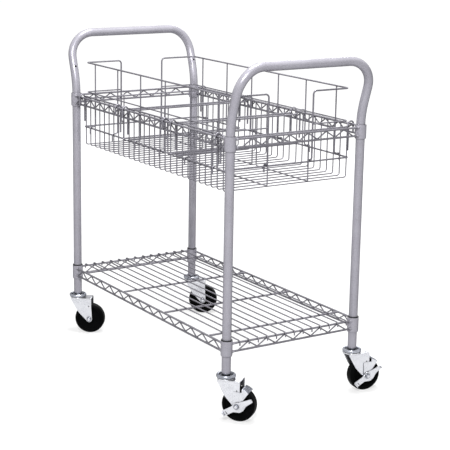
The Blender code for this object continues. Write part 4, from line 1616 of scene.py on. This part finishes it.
    def build(self, brakes: "SideBrakes") -> None:
        """Model each part once and stand a copy at every corner.

        Args:
            brakes: The side brakes, whose plates lie under the nuts of the rear casters.
        """
        stem, fork, wheel = self.stem(), self.fork(), self.wheel()
        axles = {True: self.axle(brakes.stack), False: self.axle(0)}
        for corner in Corner:
            name = corner.value
            swivel, hub = self.stance(corner)
            bolt, nuts = axles[corner.braked]
            # The stem and the nuts take the zinc whose darkness is painted shade and painted dark reflection.
            for model, place, part, finish, nodes, body in (
                (stem, swivel, "stem", SHADED_ZINC, [f"stem_{name}"], "frame"),
                (fork, swivel, "fork", BRIGHT_ZINC, [f"fork_{name}"], f"swivel_{name}"),
                (bolt, hub, "axle", BRIGHT_ZINC, [f"axle_{name}"], f"swivel_{name}"),
                (nuts, hub, "nuts", SHADED_ZINC, [], f"swivel_{name}"),
                (wheel, hub, "wheel", BLACK_RUBBER, [f"wheel_{name}"], f"roller_{name}"),
            ):
                self.shop.fit(self.bench.copy(model, place), f"caster_{part}_{name}", finish, *nodes, body=body)
        self.bench.discard(stem, fork, wheel, *axles[True], *axles[False])


@dataclass
class SideBrakes(Assembly):
    """The side brakes of the rear casters: an arm with a shoe over the tyre, and a two-armed pedal."""

    casters: Casters
    arm_plate: float = 0.002
    pedal_plate: float = 0.0025
    plate_edge: float = 0.0004
    hole_sides: int = 28
    shoe_clearance: float = 0.0026
    shoe_plate: float = 0.0025
    shoe_edge: float = 0.0009
    shoe_edge_segments: int = 3
    shoe_angles: Pair = (15.0, 39.0)
    shoe_steps: int = 8
    arm_front: float = 0.012
    arm_top: float = 0.0405
    arm_corners: Pair = (0.002, 0.001)
    arm_toe: float = 0.0095
    arm_toe_angles: range = range(-10, -191, -20)
    waist: tuple[float, float, float] = (0.013, 0.0125, 0.01)
    travel: float = 0.0018
    reach: float = 0.045
    # The pedal's outline round the bolt, in shares of its reach: X, Z, rounding.
    pedal_outline: Table = (
        (0.89, 0.59, 0.04), (1.0, 0.39, 0.06), (0.60, 0.09, 0.30), (0.44, -0.21, 0.30), (0.22, -0.36, 0.12),
        (-0.20, -0.37, 0.15), (-0.69, -0.67, 0.06), (-0.93, -0.39, 0.06), (-0.36, -0.05, 0.20),
        (-0.09, 0.21, 0.30), (0.27, 0.33, 0.30),
    )
    # The boss pressed round the bolt's hole: radius, how far it stands out of the plate, rounding.
    boss_section: Table = (
        (0.0043, -0.0003), (0.0112, -0.0003), (0.0106, 0.0009, 0.0005), (0.0084, 0.0009, 0.0006),
        (0.0076, 0.0003, 0.0003), (0.0043, 0.0003),
    )
    slot_place: Pair = (-0.028, -0.0215)
    slot_lean: float = math.radians(-50)
    slot_length: float = 0.009
    slot_width: float = 0.0022
    # Where each lip starts in the outline, and how far it stands out.
    lips: tuple[tuple[int, float], ...] = ((0, 0.004), (6, 0.0056))
    lip_share: float = 0.86
    lip_edge: float = 0.0003
    # A lip's section: outwards, out of the plate, rounding. The heights of its crest are taken from its top.
    lip_outside: Table = ((-0.0025, -0.0023), (0.0020, -0.0023, 0.0025))
    lip_crest: Table = ((0.0026, 0.0, 0.0006), (0.0006, 0.0, 0.0006))
    lip_inside: Table = ((-0.0005, -0.0002, 0.001), (-0.0025, -0.0002))
    ridge: float = 0.0016
    ridge_inset: float = 0.003

    @property
    def stack(self) -> float:
        """What the axle's bolt clamps outside the fork."""
        return self.arm_plate + self.pedal_plate + 2 * CLEARANCE

    def arm(self) -> tuple[Piece, Piece]:
        """The arm's plate and its curved, ridged shoe, about the hub.

        Returns:
            The plate and the shoe.
        """
        near = -(self.casters.fork_half_width + CLEARANCE + self.arm_plate)
        far = self.casters.wheel_half_width
        inner = self.casters.wheel_radius + self.shoe_clearance
        outer = inner + self.shoe_plate
        line = (inner + outer) / 2
        first, last = (QUARTER_TURN - math.radians(angle) for angle in self.shoe_angles)
        sweep = [first + (last - first) * n / self.shoe_steps for n in range(self.shoe_steps + 1)]
        front, back = self.arm_corners
        outline = upright(
            (-self.arm_front, self.arm_top, front), (line * math.cos(first), self.arm_top, back), *arc(line, sweep),
            self.waist, *arc(self.arm_toe, map(math.radians, self.arm_toe_angles)),
        )
        plate = self.bench.slab(outline, self.arm_plate, near)
        hole = self.casters.bolt + CLEARANCE + self.travel
        self.bench.cut(plate, self.bench.rod((0, 2 * near, 0), (0, 0, 0), hole, self.hole_sides))
        self.bench.soften(plate, self.plate_edge)
        band = upright(*arc(outer, sweep), *arc(inner, reversed(sweep)))
        shoe = self.bench.slab(band, far - near, near)
        self.bench.soften(shoe, self.shoe_edge, self.shoe_edge_segments)
        ends = (near + self.ridge_inset, far - self.ridge_inset)
        crests = arc(outer, sweep[1:-1:2])
        ridges = [self.bench.wire(bends(*((x, y, z) for y in ends)), self.ridge) for x, z in crests]
        return plate, self.bench.join(shoe, *ridges)

    def pedal(self) -> Piece:
        """The pressed pedal plate about the hub, with a boss round the bolt and a lip turned out at each end.

        Returns:
            The plate, boss and lips as one piece.
        """
        near = -(self.casters.fork_half_width + self.stack)
        outline = upright(*([self.reach * share for share in row] for row in self.pedal_outline))
        plate = self.bench.slab(outline, self.pedal_plate, near)
        hole = self.bench.rod((0, 2 * near, 0), (0, 0, 0), self.casters.bolt + CLEARANCE, self.hole_sides)
        x, z = self.slot_place
        slit = self.bench.place(
            self.bench.cube(self.slot_length, 4 * self.pedal_plate, self.slot_width),
            moved(x, near + self.pedal_plate / 2, z) @ turned(-self.slot_lean, "Y"),
        )
        self.bench.soften(self.bench.cut(plate, hole, slit), self.plate_edge)
        boss = self.bench.lathe(upright(*self.boss_section), closed=True)
        self.bench.place(boss, moved(y=near) @ turned(QUARTER_TURN, "X"))
        lips = [
            self.pedal_lip(outline[start].place.xz, outline[start + 1].place.xz, near, rise)
            for start, rise in self.lips
        ]
        return self.bench.join(plate, boss, *lips)

    def pedal_lip(self, first: Vector, last: Vector, near: float, rise: float) -> Piece:
        """The lip at one end of the pedal, bent out of its plate.

        Args:
            first: Where the end's edge starts, as its X and Z.
            last: Where it stops.
            near: Where the plate's outer face lies.
            rise: How far the lip stands out.

        Returns:
            The lip, its root sunk in the plate.
        """
        length = (last - first).length * self.lip_share
        way = (last - first).normalized()
        outward = Vector((way.y, -way.x))
        if outward.dot(first + last) < 0:
            outward.negate()
        section = upright(*self.lip_outside, *raised(self.lip_crest, rise), *self.lip_inside)
        lip = self.bench.soften(self.bench.slab(section, length, -length / 2), self.lip_edge)
        x_axis = Vector((outward.x, 0, outward.y))
        z_axis = Vector((0, -1, 0))
        turn = Matrix((x_axis, z_axis.cross(x_axis), z_axis)).transposed().to_4x4()
        middle = (first + last) / 2
        return self.bench.place(lip, moved(middle.x, near, middle.y) @ turn)

    def build(self) -> None:
        """Model the arm and the pedal once and fit them to the braked casters."""
        arm, shoe = self.arm()
        pedal = self.pedal()
        for corner in (corner for corner in Corner if corner.braked):
            name = corner.value
            hub = self.casters.stance(corner)[1]
            # The shoe takes the zinc whose darkness is painted shade and painted dark reflection.
            for model, part, finish, nodes, body in (
                (arm, "arm", BRIGHT_ZINC, [f"brake_arm_{name}"], f"arm_{name}"),
                (shoe, "shoe", SHADED_ZINC, [], f"arm_{name}"),
                (pedal, "pedal", BRIGHT_ZINC, [f"brake_pedal_{name}"], f"pedal_{name}"),
            ):
                self.shop.fit(self.bench.copy(model, hub), f"side_brake_{part}_{name}", finish, *nodes, body=body)
        self.bench.discard(arm, shoe, pedal)


@dataclass
class Camera:
    """The camera at the photograph's angle, in pixels of a square picture."""

    shop: Workshop
    azimuth: float = math.radians(56.891)
    elevation: float = math.radians(13.284)
    roll: float = math.radians(1.035)
    focal_pixels: float = 1374.509
    centre_pixels: Pair = (228.904, 217.8)
    distance: float = 3.639221
    target_height: float = 0.563847
    picture: float = 450.0
    sensor: float = 36.0
    clip_end: float = 50.0

    def build(self) -> None:
        """Create the camera, aimed at the height above the near left post that it is fitted to."""
        target = self.shop.post_axis(Corner.REAR_LEFT) + Vector((0, 0, self.target_height))
        level = math.cos(self.elevation)
        away = Vector((math.sin(self.azimuth) * level, -math.cos(self.azimuth) * level, math.sin(self.elevation)))
        lens = bpy.data.cameras.new("photo_camera")
        lens.sensor_width = self.sensor
        lens.lens = self.focal_pixels * self.sensor / self.picture
        lens.shift_x = (self.picture / 2 - self.centre_pixels[0]) / self.picture
        lens.shift_y = (self.centre_pixels[1] - self.picture / 2) / self.picture
        lens.clip_end = self.clip_end
        camera = bpy.data.objects.new("photo_camera", lens)
        bpy.context.scene.collection.objects.link(camera)
        turn = (-away).to_track_quat("-Z", "Y").to_matrix().to_4x4() @ turned(self.roll)
        camera.matrix_world = Matrix.Translation(target + away * self.distance) @ turn
        bpy.context.scene.camera = camera
        log.info("camera: %.1f mm lens at %s", lens.lens, tuple(round(c, 3) for c in camera.location))


@dataclass
class Studio:
    """A plain pale floor and soft white light."""

    floor_size: float = 40.0
    floor_colour: Colour = (0.36, 0.36, 0.36)
    floor_glow: Pair = (0.66, 1.0)
    glow_reach: Pair = (0.9, 3.2)
    sky_strength: float = 0.10
    # Each lamp's name, place, width and power.
    lamps: tuple[tuple[str, Place, float, float], ...] = (
        ("key", (2.71, -2.12, 2.9), 1.2, 150.0),
        ("top", (0.1, 0.0, 3.6), 1.1, 128.0),
        ("back", (-2.6, 2.4, 2.4), 1.4, 42.0),
    )
    aim: Place = (0.0, 0.0, 0.5)

    def seen(self, wiring: Wiring) -> Socket:
        """One for rays from the camera, reflections and clear parts, zero for those that light the object.

        Args:
            wiring: The tree that asks.

        Returns:
            The answer, as a socket.
        """
        path = wiring.add("LightPath", {})
        either = wiring.total(path["Is Camera Ray"], path["Is Glossy Ray"])
        return wiring.total(either, path["Is Transmission Ray"])

    def sky(self, world: bpy.types.World) -> None:
        """Light the world softly, and let it be seen as white.

        Args:
            world: The scene's world.
        """
        world.use_nodes = True
        wiring = Wiring(world.node_tree)
        strength = wiring.spread(self.seen(wiring), made=(self.sky_strength, 1.0))
        wiring.wire(world.node_tree.nodes["Background"], {"Color": (1, 1, 1, 1), "Strength": strength})

    def floor_material(self) -> bpy.types.Material:
        """A pale floor that is seen as white where nothing shades it.

        Returns:
            The material.
        """
        material = bpy.data.materials.new("pale_floor")
        material.use_nodes = True
        wiring = Wiring(material.node_tree)
        away = wiring.add("VectorMath", {0: wiring.add("TexCoord", {})["Object"]}, operation="LENGTH")["Value"]
        glow = wiring.spread(away, self.glow_reach, self.floor_glow)
        wiring.wire(material.node_tree.nodes["Principled BSDF"], {
            "Base Color": (*self.floor_colour, 1), "Roughness": 1.0, "Specular IOR Level": 0.0,
            "Emission Color": (1, 1, 1, 1), "Emission Strength": wiring.product(self.seen(wiring), glow),
        })
        return material

    def build(self) -> None:
        """Create the world, the floor and the lamps."""
        scene = bpy.context.scene
        scene.view_settings.view_transform = "Standard"
        scene.world = bpy.data.worlds.new("white_studio")
        self.sky(scene.world)
        bpy.ops.object.select_all(action="DESELECT")
        bpy.ops.mesh.primitive_plane_add(size=self.floor_size)
        floor = bpy.context.object
        floor.name = "studio_floor"
        floor.data.materials.append(self.floor_material())
        for name, place, size, power in self.lamps:
            lamp = bpy.data.lights.new(f"{name}_lamp", "AREA")
            lamp.shape = "DISK"
            lamp.size = size
            lamp.energy = power
            stand = bpy.data.objects.new(f"{name}_lamp", lamp)
            scene.collection.objects.link(stand)
            stand.location = place
            stand.rotation_mode = "QUATERNION"
            stand.rotation_quaternion = (Vector(self.aim) - Vector(place)).to_track_quat("-Z", "Y")
        log.info("studio: floor, world and %d lamps", len(self.lamps))


def main() -> None:
    """Build the cart's sub-assemblies in order, then the studio and the camera."""
    logging.basicConfig(level=logging.INFO, format="%(name)s %(message)s")
    shop = Workshop()
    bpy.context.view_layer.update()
    frames = LacedFrames(shop)
    baskets = Baskets(shop)
    casters = Casters(shop)
    brakes = SideBrakes(shop, casters)
    Posts(shop).build()
    Handles(shop).build()
    Collars(shop).build(frames)
    frames.build()
    Deck(shop).build(frames)
    baskets.build(frames)
    FileRails(shop).build(baskets)
    casters.build(brakes)
    brakes.build()
    Studio().build()
    Camera(shop).build()


if __name__ == "__main__":
    main()
